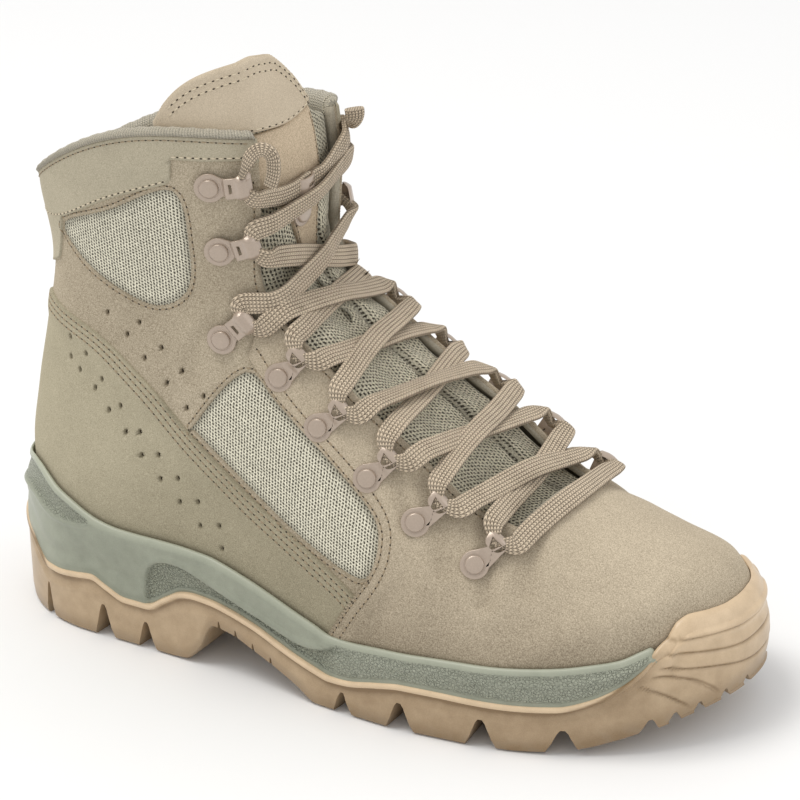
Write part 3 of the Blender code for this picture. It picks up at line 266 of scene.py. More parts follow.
def backAt(uv):
    # the same surface unrolled from the back of the heel instead of the front
    a = np.where(uv[:, 1] < 0, -1.0, 1.0) * (1 - np.abs(uv[:, 1]) / vScale)
    return sample(skin, uv[:, 0] / uScale, a)


def fullLength(t, side):
    return np.interp(t, skin["ts"], skin["full"][side])


def treeOf(points):
    tree = KDTree(len(points))
    for i, p in enumerate(points):
        tree.insert(p, i)
    tree.balance()
    return tree


# a coarse net over the lateral side, from which toDomain() starts each search
netT = np.repeat(np.linspace(0.2, 15.9, 240), 150)
netS = np.tile(np.linspace(0.1, 0.999, 150), 240)
lateralTree = treeOf(sample(skin, netT, -netS)[0] * (1, 0, 1))


def toDomain(xz, side=-1):
    # a line seen from the lateral side, as (u, v) on that side or on the same place of the other
    out = []
    stepT, stepS = 0.03, 0.01
    for x, z in np.array(xz, float):
        _, i, _ = lateralTree.find((x, 0, z))
        t, s = netT[i], netS[i]
        for _ in range(5):
            q = sample(skin, np.array([t, t + stepT, t]), -np.array([s, s, s - stepS]))[0][:, [0, 2]]
            slopes = rowsOf((q[1] - q[0]) / stepT, (q[0] - q[2]) / stepS)
            if abs(np.linalg.det(slopes)) < 1e-3:
                break
            dt, ds = np.linalg.solve(slopes, np.array([x, z]) - q[0])
            t = min(max(t + np.clip(dt, -0.3, 0.3), 0.05), 15.95)
            s = min(max(s + np.clip(ds, -0.05, 0.05), 0.05), 0.999)
        out.append((t * uScale, side * s * vScale))
    return np.array(out)


def throatLine(t0, t1, side, count=24, inset=0.0):
    t = np.linspace(t0, t1, count)
    half = table(lastFit["throat"], t) + inset
    return rowsOf(t * uScale, side * half / fullLength(t, side) * vScale)


def levelLine(t0, t1, side, share, count):
    return rowsOf(np.linspace(t0, t1, count) * uScale, side * share * vScale)


def unrolled(uv):
    # from the front's domain to the back's
    out = np.array(uv, float)
    out[:, 1] = np.sign(out[:, 1]) * (vScale - np.abs(out[:, 1]))
    return out


print("last ready", skin["grid"].shape)


class Field:
    # the value at a node's output, so that a finish is written as sums
    def __init__(self, finish, socket):
        self.finish = finish
        self.socket = socket

    def maths(self, operation, other=0.0, clamp=False):
        return self.finish.field("Math", {0: self, 1: other}, operation=operation, use_clamp=clamp)

    def __add__(self, other):
        return self.maths("ADD", other)

    def __sub__(self, other):
        return self.maths("SUBTRACT", other)

    def __mul__(self, other):
        return self.maths("MULTIPLY", other)

    def __truediv__(self, other):
        return self.maths("DIVIDE", other)

    def span(self, low, high, toLow=0.0, toHigh=1.0):
        return self.finish.field("MapRange", {0: self, 1: low, 2: high, 3: toLow, 4: toHigh})

    def fromMiddle(self):
        # 0 in the middle of each cell of length 1, 0.5 at its ends
        return (self.maths("FRACT") - 0.5).maths("ABSOLUTE")

    def blend(self, dark, light):
        colours = [c if isinstance(c, Field) else (*c, 1) for c in (dark, light)]
        return self.finish.field("Mix", {0: self, 6: colours[0], 7: colours[1]}, 2, data_type="RGBA")


class Finish:
    # one Principled material and the fields that paint it
    def __init__(self, name, roughness=0.9, **sockets):
        self.material = bpy.data.materials.new(name)
        self.material.use_nodes = True
        self.tree = self.material.node_tree
        self.inputs = self.tree.nodes["Principled BSDF"].inputs
        self.inputs["Roughness"].default_value = roughness
        for key, value in sockets.items():
            self.inputs[key.replace("_", " ")].default_value = value

    def node(self, kind, values, **settings):
        node = self.tree.nodes.new("ShaderNode" + kind)
        for key, value in settings.items():
            setattr(node, key, value)
        for key, value in values.items():
            if isinstance(value, Field):
                self.tree.links.new(value.socket, node.inputs[key])
            else:
                node.inputs[key].default_value = value
        return node

    def field(self, kind, values, output=0, **settings):
        return Field(self, self.node(kind, values, **settings).outputs[output])

    def wire(self, **fields):
        for key, field in fields.items():
            self.tree.links.new(field.socket, self.inputs[key.replace("_", " ")])

    def place(self):
        return self.field("TexCoord", {}, "Object")

    def noise(self, scale, detail=3.0, roughness=0.55):
        values = {"Vector": self.place(), "Scale": scale, "Detail": detail, "Roughness": roughness}
        return self.field("TexNoise", values, "Fac")

    def painted(self, name):
        return self.field("Attribute", {}, "Fac", attribute_name=name)

    def flat(self):
        # the two directions of the piece's own map, in mm
        split = self.node("SeparateXYZ", {0: self.field("UVMap", {}, uv_map="flat")})
        return [Field(self, split.outputs[k]) for k in (0, 1)]

    def bump(self, height, distance, strength=1.0, under=None):
        values = {"Height": height, "Distance": distance * mm, "Strength": strength}
        if under is not None:
            values["Normal"] = under
        normal = self.field("Bump", values)
        self.wire(Normal=normal)
        return normal


def nappedLeather(name, dark, light, nap=0.16, speckle=0.42, grain=2100):
    # suede or nubuck: a speckled nap, soft blotches, and the tone painted on each piece, which holds painted
    # light and shade
    finish = Finish(name, 0.95, Sheen_Weight=0.12, Sheen_Roughness=0.5, Specular_IOR_Level=0.15)
    finish.inputs["Sheen Tint"].default_value = (*[min(1, c * 1.5) for c in light], 1)
    fine = finish.noise(grain, 2.0, 0.7)
    middle = finish.noise(900.0, 3.0, 0.65)
    broad = finish.noise(55.0, 4.0, 0.6)
    tone = finish.painted("tone") + fine.span(0.3, 0.7, -speckle, speckle)
    tone = tone + middle.span(0.32, 0.68, -0.05, 0.05)
    tone = tone.maths("ADD", broad.span(0.3, 0.7, -0.065, 0.065), clamp=True)
    finish.wire(Base_Color=tone.blend(dark, light))
    finish.bump(fine, nap, 0.8, finish.bump(middle, nap, 0.6))
    return finish.material


def plainFinish(name, colour, roughness, vary=0.15, scale=900, depth=0.05, **sockets):
    finish = Finish(name, roughness, **sockets)
    low = [c * (1 - vary) for c in colour]
    high = [min(1, c * (1 + vary)) for c in colour]
    grain = finish.noise(scale, 3.0)
    finish.wire(Base_Color=grain.span(0.3, 0.7).blend(low, high))
    finish.bump(grain, depth)
    return finish.material


def openMesh(name, threads, holes, pitch, rise, opening, waver=0.12, fuzziness=0.25):
    # mesh cloth: dark holes in rows, each second row moved half a pitch
    finish = Finish(name, 0.85, Sheen_Weight=0.1, Specular_IOR_Level=0.25)
    u, v = finish.flat()
    shift = finish.noise(260.0, 2.0).span(0.3, 0.7, -waver, waver)
    across = u / pitch + shift
    up = v / rise + shift
    half = across.maths("FLOOR").maths("ABSOLUTE").maths("MODULO", 2.0) * 0.5
    x = (across.maths("FRACT") - 0.5) * 1.25
    y = (up + half).maths("FRACT") - 0.5
    lean = x + y * 0.35
    far = (lean * lean + y * y).maths("SQRT")
    fuzz = finish.noise(1900.0, 3.0, 0.7)
    ragged = far + fuzz.span(0.3, 0.7, -fuzziness / 2, fuzziness / 2)
    thread = ragged.span(opening - 0.14, opening + 0.08)
    # the painted tone dims the threads with painted shade, by the leather's edges and along folds
    shade = thread * finish.painted("tone")
    yarn = fuzz.span(0.35, 0.65).blend([c * 0.7 for c in threads], [min(1, c * 1.2) for c in threads])
    finish.wire(Base_Color=shade.blend(holes, yarn), Roughness=shade.span(0, 1, 1.0, 0.8))
    finish.bump(thread + fuzz * 0.35, 0.6)
    return finish.material


def flatBraid(name, colour, shadow):
    # ribs along the lace, crossed by slanting strands that change direction at each rib
    finish = Finish(name, 0.85, Sheen_Weight=0.1, Specular_IOR_Level=0.2)
    u, v = finish.flat()
    fold = (v / 1.367).fromMiddle()
    strand = (u / 1.35 + fold * 1.3).fromMiddle()
    fuzz = finish.noise(3400.0, 2.0, 0.7)
    height = strand.span(0.47, 0.22).span(0, 1, 0.34, 1.0) * fold.span(0.5, 0.34).span(0, 1, 0.12, 1.0)
    tone = height + fuzz.span(0.3, 0.7, -0.22, 0.22)
    tone = tone.maths("ADD", finish.noise(160.0, 2.0).span(0.3, 0.7, -0.1, 0.1), clamp=True)
    finish.wire(Base_Color=tone.blend(shadow, colour))
    finish.bump(height + fuzz * 0.15, 0.6)
    return finish.material


def ribKnit(name, colour, shadow):
    # fine knit: small slanting stitches in rows along the roll
    finish = Finish(name, 0.95, Sheen_Weight=0.3)
    u, v = finish.flat()
    fold = (v / 1.15).fromMiddle()
    stitch = (u / 1.1 + fold).fromMiddle()
    fuzz = finish.noise(2600.0, 3.0, 0.7)
    height = stitch.span(0.5, 0.1) + fold.span(0.5, 0.2) * 0.5
    tone = (height * 0.6).maths("ADD", fuzz.span(0.3, 0.7, -0.25, 0.3), clamp=True)
    finish.wire(Base_Color=tone.blend(shadow, colour))
    finish.bump(height + fuzz * 0.4, 0.7)
    return finish.material


def mouldedSole(name, dark, light, roughness, grainDepth, shadeColour=(0.16, 0.13, 0.1)):
    # tone holds the paint's own shade with painted light and shade on it, grain is where the mould has a
    # leather grain, and the third painted attribute is painted shade by the joins and the ground, mixed
    # towards a dark shade colour
    finish = Finish(name, roughness, Specular_IOR_Level=0.45)
    grained = finish.painted("grain")
    mottle = finish.noise(150.0, 3.0, 0.55)
    fine = finish.noise(2600.0, 2.0)
    tone = finish.painted("tone") + mottle.span(0.3, 0.7, -0.08, 0.08) + fine.span(0.3, 0.7, -0.05, 0.05)
    cells = {"Vector": finish.place(), "Scale": 820.0}
    pebbles = finish.field("TexVoronoi", cells, feature="DISTANCE_TO_EDGE")
    stipple = finish.noise(1500.0, 2.0, 0.7)
    grain = (pebbles.span(0.0, 0.16) + stipple.span(0.35, 0.65, -0.5, 0.5)) * grained
    tone = tone.maths("ADD", (grain - 0.4) * (grained * 0.62), clamp=True)
    # painted shade by the joins and the ground, blotched by the mottle
    shadeMask = finish.painted("dirt").maths("MULTIPLY", mottle.span(0.42, 0.62), clamp=True)
    finish.wire(Base_Color=shadeMask.blend(tone.blend(dark, light), shadeColour),
                Roughness=grained.span(0, 1, roughness, roughness + 0.05))
    finish.bump(grain * grainDepth + fine * 0.05, 0.45, 0.9)
    return finish.material


# the dark and light colour of each leather's nap, then how rough and how fine it is
vampSuede = nappedLeather("vampSuede", (0.235, 0.19, 0.132), (0.60, 0.51, 0.38))
ankleSuede = nappedLeather("ankleSuede", (0.25, 0.205, 0.14), (0.62, 0.535, 0.405))
tongueSuede = nappedLeather("tongueSuede", (0.275, 0.21, 0.14), (0.65, 0.525, 0.375))
quarterNubuck = nappedLeather("quarterNubuck", (0.245, 0.215, 0.145), (0.53, 0.475, 0.345), 0.12, 0.36, 2500)
cuffNubuck = nappedLeather("cuffNubuck", (0.28, 0.25, 0.18), (0.57, 0.51, 0.385), 0.12, 0.34, 2500)
tongueNubuck = nappedLeather("tongueNubuck", (0.36, 0.295, 0.21), (0.66, 0.56, 0.425), 0.1, 0.3, 2600)
# threads and holes, pitch and rise of a row in mm, and how open it is
windowMesh = openMesh("windowMesh", (0.78, 0.74, 0.59), (0.075, 0.065, 0.043), 1.25, 1.3, 0.34)
tongueMesh = openMesh("tongueMesh", (0.76, 0.70, 0.53), (0.06, 0.05, 0.033), 1.7, 1.7, 0.33, 0.1, 0.5)
lining = plainFinish("lining", (0.36, 0.32, 0.245), 0.95, 0.2, 1800, 0.12)
footbedCloth = plainFinish("footbedCloth", (0.24, 0.21, 0.165), 0.95, 0.2, 1500, 0.1)
stripCloth = plainFinish("stripCloth", (0.06, 0.043, 0.028), 0.85, 0.3, 1800, 0.15)
paleThread = plainFinish("paleThread", (0.62, 0.54, 0.40), 0.8, 0.15, 4000, 0.05)
brownThread = plainFinish("brownThread", (0.33, 0.255, 0.165), 0.8, 0.2, 4000, 0.05)
# a near-black laid over needle holes and punched holes: painted shade
holeShade = plainFinish("holeShade", (0.045, 0.033, 0.02), 1.0, 0.1, 900, 0.01)
satinPaint = plainFinish("satinPaint", (0.42, 0.335, 0.265), 0.3, 0.05, 1500, 0.02, Coat_Weight=0.5,
                         Coat_Roughness=0.15, Metallic=0.3)
laceBraid = flatBraid("laceBraid", (0.70, 0.575, 0.425), (0.15, 0.11, 0.07))
knitRib = ribKnit("knitRib", (0.86, 0.78, 0.61), (0.34, 0.30, 0.21))
midsoleFoam = mouldedSole("midsoleFoam", (0.14, 0.153, 0.112), (0.45, 0.468, 0.368), 0.38, 1.5)
outsoleRubber = mouldedSole("outsoleRubber", (0.25, 0.165, 0.085), (0.78, 0.60, 0.40), 0.34, 0.3)
print("materials ready", len(bpy.data.materials))


def finished(name, bm, material, slot=None, stands=(), smoothAngle=None):
    mesh = bpy.data.meshes.new(name)
    bm.to_mesh(mesh)
    bm.free()
    mesh.materials.append(material)
    mesh.shade_smooth()
    if smoothAngle is not None:
        mesh.set_sharp_from_angle(angle=math.radians(smoothAngle))
    obj = bpy.data.objects.new(name, mesh)
    bpy.context.scene.collection.objects.link(obj)
    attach(obj, "root")
    if stands:
        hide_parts(*stands)
    return obj


def cornersOf(mesh, origin=0.0):
    # where the vertices are, in mm
    spots = np.empty(len(mesh.vertices) * 3, np.float32)
    mesh.vertices.foreach_get("co", spots)
    return spots.reshape(-1, 3) / mm + origin


def paint(obj, name, values):
    layer = obj.data.attributes.new(name, "FLOAT", "POINT")
    layer.data.foreach_set("value", np.asarray(values, np.float32))


def flatUv(obj, uv):
    # uv holds one pair for each vertex, in mm
    layer = obj.data.uv_layers.new(name="flat")
    loops = np.empty(len(obj.data.loops), np.int32)
    obj.data.loops.foreach_get("vertex_index", loops)
    layer.data.foreach_set("uv", np.asarray(uv, np.float32)[loops].ravel())


def fromFaces(points, faces):
    bm = bmesh.new()
    verts = [bm.verts.new(p) for p in toFrame(points)]
    for face in faces:
        try:
            bm.faces.new([verts[i] for i in face])
        except ValueError:
            pass
    return bm


def skinRings(bm, rings):
    # a band of faces from each ring of points to the next
    verts = [[bm.verts.new(p) for p in toFrame(ring)] for ring in rings]
    count = len(rings[0])
    for a, b in zip(verts, verts[1:]):
        for k in range(count):
            n = (k + 1) % count
            bm.faces.new((a[k], a[n], b[n], b[k]))
    return verts


def resample(points, step, closed=True):
    p = np.asarray(points, float)
    if closed:
        p = np.concatenate([p, p[:1]])
    run = arcsOf(p)
    keep = np.concatenate([[True], np.diff(run) > 1e-9])
    p, run = p[keep], run[keep]
    # corners stay where they are
    ahead = np.diff(p, axis=0)
    heading = np.arctan2(ahead[:, 1], ahead[:, 0])
    turn = np.abs((np.diff(heading) + math.pi) % (2 * math.pi) - math.pi)
    corners = [0] + [i + 1 for i in range(len(turn)) if turn[i] > 0.5] + [len(p) - 1]
    out = []
    for a, b in zip(corners, corners[1:]):
        if b <= a:
            continue
        length = run[b] - run[a]
        count = max(1, int(round(length / step)))
        out.append(spread(run[a] + length * np.arange(count) / count, run, p))
    out = np.concatenate(out)
    return out if closed else np.concatenate([out, p[-1:]])


def insidePolygon(points, polygon, holes=()):
    x, y = points[:, 0], points[:, 1]
    inside = np.zeros(len(points), bool)
    for (ax, ay), (bx, by) in zip(polygon, np.roll(polygon, -1, axis=0)):
        if ay == by:
            continue
        crosses = (ay > y) != (by > y)
        inside ^= crosses & (x < ax + (y - ay) * (bx - ax) / (by - ay))
    for hole in holes:
        inside &= ~insidePolygon(points, hole)
    return inside


def slopesOf(surface, uv, reach=0.4):
    # how the surface moves for one unit of u and of v
    du = (surface(uv + (reach, 0))[0] - surface(uv - (reach, 0))[0]) / (2 * reach)
    dv = (surface(uv + (0, reach))[0] - surface(uv - (0, reach))[0]) / (2 * reach)
    return du, dv


def domainStep(du, dv, move):
    # the step in u and v that comes nearest to a move in space
    return np.linalg.lstsq(rowsOf(du, dv), move, rcond=None)[0]


def inwardSteps(loop, surface, hole=False):
    # how far the domain moves for one mm inwards from each point of a closed outline
    p, n = surface(loop)
    du, dv = slopesOf(surface, loop)
    ahead = unit(np.roll(p, -1, axis=0) - np.roll(p, 1, axis=0))
    handed = np.sign((np.cross(du, dv) * n).sum(axis=1))
    x, y = loop.T
    turn = np.sign(np.sum(x * np.roll(y, -1) - np.roll(x, -1) * y)) * (-1 if hole else 1)
    inward = np.cross(n, ahead) * (handed * turn)[:, None]
    return np.array([domainStep(*pair) for pair in zip(du, dv, inward)]), p


def segmentDistance(points, line, closed=True):
    # distance of each point from a densely stepped line
    a = np.asarray(line)
    b = np.roll(a, -1, axis=0) if closed else a[1:]
    a = a if closed else a[:-1]
    d = b - a
    best = np.full(len(points), 1e9)
    for start in range(0, len(points), 2000):
        q = points[start:start + 2000]
        k = ((q[:, None] - a) * d).sum(axis=2) / np.maximum((d * d).sum(axis=1), 1e-9)
        near = a + np.clip(k, 0, 1)[..., None] * d
        best[start:start + 2000] = np.linalg.norm(q[:, None] - near, axis=2).min(axis=1)
    return best


sheet = {
    "rimRows": (0.12, 0.35, 0.8, 1.5),  # how far in from an edge the close rows of points stand
    "coarse": 1.0,
    "pitRings": ((0.62, -1.4), (0.95, -0.35), (1.35, 0.0)), "pitFloor": -1.5, "pitPoints": 10,
    "slitLong": 1.3, "slitNarrow": 0.85,
}


def rimPoints(loops, surface):
    points, edges, rims = [], [], []
    for number, loop in enumerate(loops):
        inward, rim = inwardSteps(loop, surface, number > 0)
        rims.append(rim)
        first = len(points)
        points += list(loop)
        edges += [(first + i, first + (i + 1) % len(loop)) for i in range(len(loop))]
        for d in sheet["rimRows"]:
            q = loop + inward * d
            points += list(q[segmentDistance(surface(q)[0], rim) > d * 0.85])
    return points, edges, rims


def fieldPoints(loops, surface, step):
    # staggered rows over the whole sheet
    low, high = loops[0].min(axis=0), loops[0].max(axis=0)
    middle = (low + high) / 2
    around = surface(middle + np.array([(-1, 0), (1, 0), (0, -1), (0, 1)]))[0]
    stepU, stepV = (step / max(np.linalg.norm(around[k + 1] - around[k]) / 2, 0.3) for k in (0, 2))
    rows = []
    for i, u in enumerate(np.arange(low[0], high[0], stepU)):
        vs = np.arange(low[1] + (i % 2) * stepV / 2, high[1], stepV)
        rows.append(rowsOf(u, vs))
    grid = np.concatenate(rows)
    return grid[insidePolygon(grid, loops[0], loops[1:])]


def pitPoints(surface, pit):
    # an upright slit punched through the sheet: rings of points round its floor, with their depths
    base = np.array([pit[:2]])
    du, dv = slopesOf(surface, base)
    normal = surface(base)[1][0]
    up = unit(np.array([0, 0, 1.0]) - normal * normal[2])
    aside = np.cross(normal, up)
    points, depths = [base[0]], [sheet["pitFloor"]]
    for ring, depth in sheet["pitRings"]:
        for k in range(sheet["pitPoints"]):
            a = 2 * math.pi * k / sheet["pitPoints"]
            move = up * math.cos(a) * sheet["slitLong"] + aside * math.sin(a) * sheet["slitNarrow"]
            points.append(base[0] + domainStep(du[0], dv[0], move * pit[2] * ring))
            depths.append(depth)
    return points, depths


def patch(name, outline, surface, material, thickness, lift, holes=(), step=1.6, relief=None, pits=(),
          tone=None, slot=None, stands=(), rim=-0.4, soften=0.45):
    # a sheet of leather or cloth laid on a surface: outline and holes in the surface's own coordinates
    step = step * sheet["coarse"]
    loops = [resample(line, step) for line in (outline, *holes)]
    points, edges, rims = rimPoints(loops, surface)
    grid = fieldPoints(loops, surface, step)
    gridAt = surface(grid)[0]
    tree = treeOf(np.concatenate(rims))
    clear = np.array([tree.find(q)[2] for q in gridAt]) > sheet["rimRows"][-1] + step * 0.45
    for u, v, radius in pits:
        clear &= np.linalg.norm(gridAt - surface(np.array([(u, v)]))[0][0], axis=1) > radius * 1.9
    points += list(grid[clear])
    pitDepths = {}
    for pit in pits:
        spots, depths = pitPoints(surface, pit)
        pitDepths.update(zip(range(len(points), len(points) + len(spots)), depths))
        points += spots
    made = geometry.delaunay_2d_cdt([Vector(p) for p in points], edges, [], 0, 1e-5)
    verts, faces, sources = made[0], np.array(made[2]), made[3]
    uv = np.array([v[:] for v in verts])
    faces = faces[insidePolygon(uv[faces].mean(axis=1), loops[0], loops[1:])]
    base, normals = surface(uv)
    distance = np.min([segmentDistance(base, line) for line in rims], axis=0)
    under = lift(base) if callable(lift) else np.full(len(base), float(lift))
    height = under + thickness * (1 - soften * np.clip(1 - distance / 0.8, 0, 1) ** 3)
    height = np.where(distance < 0.04, under + rim, height)
    pitted = np.zeros(len(uv))
    for i, source in enumerate(sources):
        for s in source:
            pitted[i] = pitDepths.get(s, pitted[i])
    height += pitted
    if relief is not None:
        height += relief(base, uv, distance) * ease(0.2, 2.0, distance)
    bm = fromFaces(base + normals * height[:, None], faces)
    bmesh.ops.recalc_face_normals(bm, faces=bm.faces)
    bm.faces.ensure_lookup_table()
    face = bm.faces[len(bm.faces) // 2]
    if face.normal.dot(Vector(normals[face.verts[0].index])) < 0:
        bmesh.ops.reverse_faces(bm, faces=bm.faces)
    obj = finished(name, bm, material, slot=slot, stands=stands)
    shade = np.full(len(uv), 0.5) if tone is None else tone(base, normals, uv, distance)
    # painted shade: black on the floor of each punched slit and dimmer along every edge
    paint(obj, "tone", np.where(pitted < -0.3, 0.0, shade) - 0.25 * np.exp(-distance / 0.5))
    flatUv(obj, base[:, (0, 2)])
    return obj


# the panels' edges, as x and z seen from the outer side; the inner side repeats them
panels = {
    "vampEdge": ((148, 12), (151, 32), (159.5, 46), (168.6, 59.5), (171.6, 71), (168.4, 82.2), (152.5, 97),
                 (129.5, 115.5), (113, 134), (116.5, 146), (128, 158)),
    "quarterSeam": ((20, 139), (29, 138), (49, 132), (71, 116.5), (93, 97), (115, 81), (138, 67), (156, 56),
                    (164, 50)),
    "collarWindow": ((35.5, 174), (60, 186), (87, 198), (91, 174), (89.5, 159), (83, 151.5), (72.5, 149.5),
                     (56, 155.5), (43, 163.5)),
    "sideWindow": ((112, 127.5), (127, 116.6), (149, 99.1), (168, 82), (171.4, 71), (168.4, 60.6),
                   (161, 58.6), (138, 69), (115, 84), (93, 100), (92, 104)),
    "cuffEdge": ((35, 176.5), (60, 190.5), (87, 201.5)),
    "cuffStep": ((88, 211), (100, 211), (112, 211)),
    "ankleHoles": ((54.0, 142.0), (68.0, 140.5), (62.3, 134.5), (77.5, 132.0), (69.9, 126.3), (86.0, 124.0),
                   (79.4, 118.0), (95.4, 115.7), (88.0, 109.5)),
    "quarterHoles": ((35, 127), (42.5, 122), (34, 118), (38.5, 114), (49.5, 113), (46, 108.5), (58, 104.0),
                     (52.5, 101), (60, 93.5), (66.5, 95), (67, 85.5), (75, 87.5), (75.5, 77.5), (83.7, 79.7),
                     (84, 69.8), (92.5, 71.8), (93, 61.8), (102, 64), (103, 54.6)),
    "holeRadius": 0.95, "soleLine": 0.985, "backLine": 0.972, "seamSteps": 24,
    "cuffLow": 13.72, "cuffHigh": 15.06, "cuffBack": 26, "windowMargin": 2.0,
}
# each crease: its line, its width and its depth in mm
creases = {
    "vamp": ((((181, 96), (190, 82), (196, 66)), 3.4, 0.9),
             (((192, 104), (203, 88), (210, 70), (213, 56)), 3.8, 1.1),
             (((214, 92), (222, 76), (226, 60)), 4.2, 0.7),
             (((166, 108), (176, 92), (181, 80)), 3.0, 0.7)),
    "ankle": ((((30, 128), (47, 121), (62, 108)), 4.5, 0.5),
              (((100, 146), (92, 135), (90, 122)), 3.5, 0.5),
              (((112, 150), (103, 139), (104, 128)), 3.0, 0.5),
              (((118, 196), (108, 187), (104, 176)), 3.0, 0.5)),
    "quarter": ((((44, 112), (60, 100), (72, 84)), 6.0, 0.3),),
}


def domainLine(points, side, steps=6):
    return toDomain(spline(points, steps), side)


def windowLine(name, side, steps=6):
    p = list(panels[name])
    return toDomain(spline([p[-1]] + p + p[:2], steps)[steps:-steps], side)


def besideLine(points, shift, side):
    # a row beside a seam, as seen from the side
    line = spline(points, panels["seamSteps"])
    ahead = unit(np.gradient(line, axis=0))
    return toDomain(line + rowsOf(ahead[:, 1], -ahead[:, 0]) * shift, side)


def joined(*lines):
    return np.concatenate([np.asarray(line, float) for line in lines])


def wave(uv, seed, scale=1.0):
    # a soft uneven field for hand-made irregularity
    k = np.random.default_rng(seed)
    out = 0
    for _ in range(7):
        a, b = k.normal(0, 0.055 / scale, 2)
        out = out + np.sin(a * uv[:, 0] + b * uv[:, 1] + k.uniform(0, 6.3)) * k.uniform(0.4, 1)
    return out / 3.2


def creaseField(base, kind, sides=(-1, 1)):
    # soft grooves with a low ridge on each side
    out = np.zeros(len(base))
    for points, width, depth in creases.get(kind, ()):
        for side in sides:
            line = upperAt(domainLine(points, side, 8))[0]
            near = (base[:, 0] > line[:, 0].min() - 25) & (base[:, 0] < line[:, 0].max() + 25)
            near &= np.sign(base[:, 1] - 6) == side
            if near.any():
                far = segmentDistance(base[near], line, closed=False) / width
                deep = depth * (1 if side < 0 else 0.8)
                out[near] += deep * (0.35 * np.exp(-(far - 1.7) ** 2 / 0.6) - np.exp(-far ** 2))
    return out


def uneven(amount, seed, scale, kind=None, sides=(-1, 1)):
    # a panel's own relief: its creases and a soft unevenness
    return lambda base, uv, _: creaseField(base, kind, sides) + amount * wave(uv, seed, scale)


def leatherTone(low, kind, seed, level, paintedShadeAt=lambda base: 0.0):
    # a deeper tone low down by the sole, painted light where it faces up, painted shade in the creases with
    # painted light on their ridges, and each panel's own painted shade
    def tone(base, normals, uv, _):
        out = level + 0.10 * wave(uv, seed, 1.4) + 0.12 * np.clip(normals[:, 2], -0.4, 1)
        out -= 0.13 * np.exp(-np.clip(base[:, 2] - low, 0, 99) / 9.0)
        return out + 0.09 * np.clip(creaseField(base, kind), -1, 1) - paintedShadeAt(base)

    return tone


def makeVamp():
    rear = {side: domainLine(panels["vampEdge"][1:9], side, 5) for side in (-1, 1)}
    halves = []
    for side in (-1, 1):
        top = domainLine(panels["vampEdge"][8:], side, 4)
        throatEnd = throatLine(4.62, top[-1, 0] / uScale, side, 60)
        start = rear[side][0]
        lower = levelLine(0.0, start[0] / uScale, side, panels["soleLine"], 60)
        halves.append(joined(lower, rear[side], top[1:], throatEnd[::-1]))
    lateral, medial = halves
    bow = lastFit["throatStart"] * uScale - 3 * np.sin(np.linspace(0, math.pi, 9))
    corner = rowsOf(bow, np.linspace(lateral[-1, 1], medial[-1, 1], 9))
    low = panels["soleLine"]
    front = rowsOf(0.0, np.linspace(low, -low, 60) * vScale)
    whole = joined(lateral, corner, medial[::-1], front[1:-1])
    whole = whole[np.concatenate([[True], np.hypot(*np.diff(whole, axis=0).T) > 0.05])]
    seams = [upperAt(rear[side])[0] for side in (-1, 1)]

    def lift(base):
        # the rear margin lies over the quarter and the ankle panel
        far = np.minimum(*[segmentDistance(base, line, closed=False) for line in seams])
        return 0.25 + (0.95 + 0.45 * ease(66, 58, base[:, 2])) * ease(13, 6, far)

    patch("vamp", whole, upperAt, vampSuede, 1.35, lift, relief=uneven(0.35, 21, 2.2, "vamp"),
          tone=leatherTone(40, "vamp", 4, 0.5), slot="suede", stands=("vamp_overlay",))


def holesOf(kind, side):
    return [(*toDomain([spot], side)[0], panels["holeRadius"]) for spot in panels[kind]]


def cuffLine(side):
    return joined(domainLine(panels["cuffEdge"], side), toDomain(panels["cuffStep"], side))


def makeAnkle(side):
    seam = domainLine(panels["quarterSeam"], side, panels["seamSteps"])
    # lower edge tucks under the quarter, front edge under the vamp
    lower = seam + (-4.0, 0)
    lower[:, 1] += side * 4.5 * ease(114, 106, np.abs(lower[:, 1]))
    under = domainLine([(x + 5, z + 1) for x, z in panels["vampEdge"][3:9]], side, 5)
    upTop = domainLine([(x + 3, z - 5) for x, z in panels["vampEdge"][8:]], side, 4)
    throat = throatLine(upTop[-1, 0] / uScale, 15.04, side, 60)
    throat = throat[throat[:, 0] > upTop[-1, 0] + 1]
    high = cuffLine(side)[::-1] + (5.0, 0)
    high[:, 0] = np.minimum(high[:, 0], lastFit["collar"] * uScale)
    back = levelLine(seam[0, 0] / uScale - 0.3, high[-1, 0] / uScale, side, panels["backLine"], 30)
    outline = joined(lower, under, upTop[1:], throat, high[1:], back[::-1])

    # painted shade towards the front of the panel
    def paintedShadeAt(base):
        return 0.1 * ease(112, 128, base[:, 0] + (base[:, 2] - 150) * 0.12)

    patch("ankle_panel_" + sideNames[side], outline, upperAt, ankleSuede, 1.0, 0.1,
          holes=[windowLine(name, side) for name in ("collarWindow", "sideWindow")],
          relief=uneven(0.3, 31 + side, 2.0, "ankle", (side,)), pits=holesOf("ankleHoles", side),
          tone=leatherTone(60, "ankle", 8 + side, 0.52, paintedShadeAt), slot="suede",
          stands=("eyestay_" + sideNames[side],))


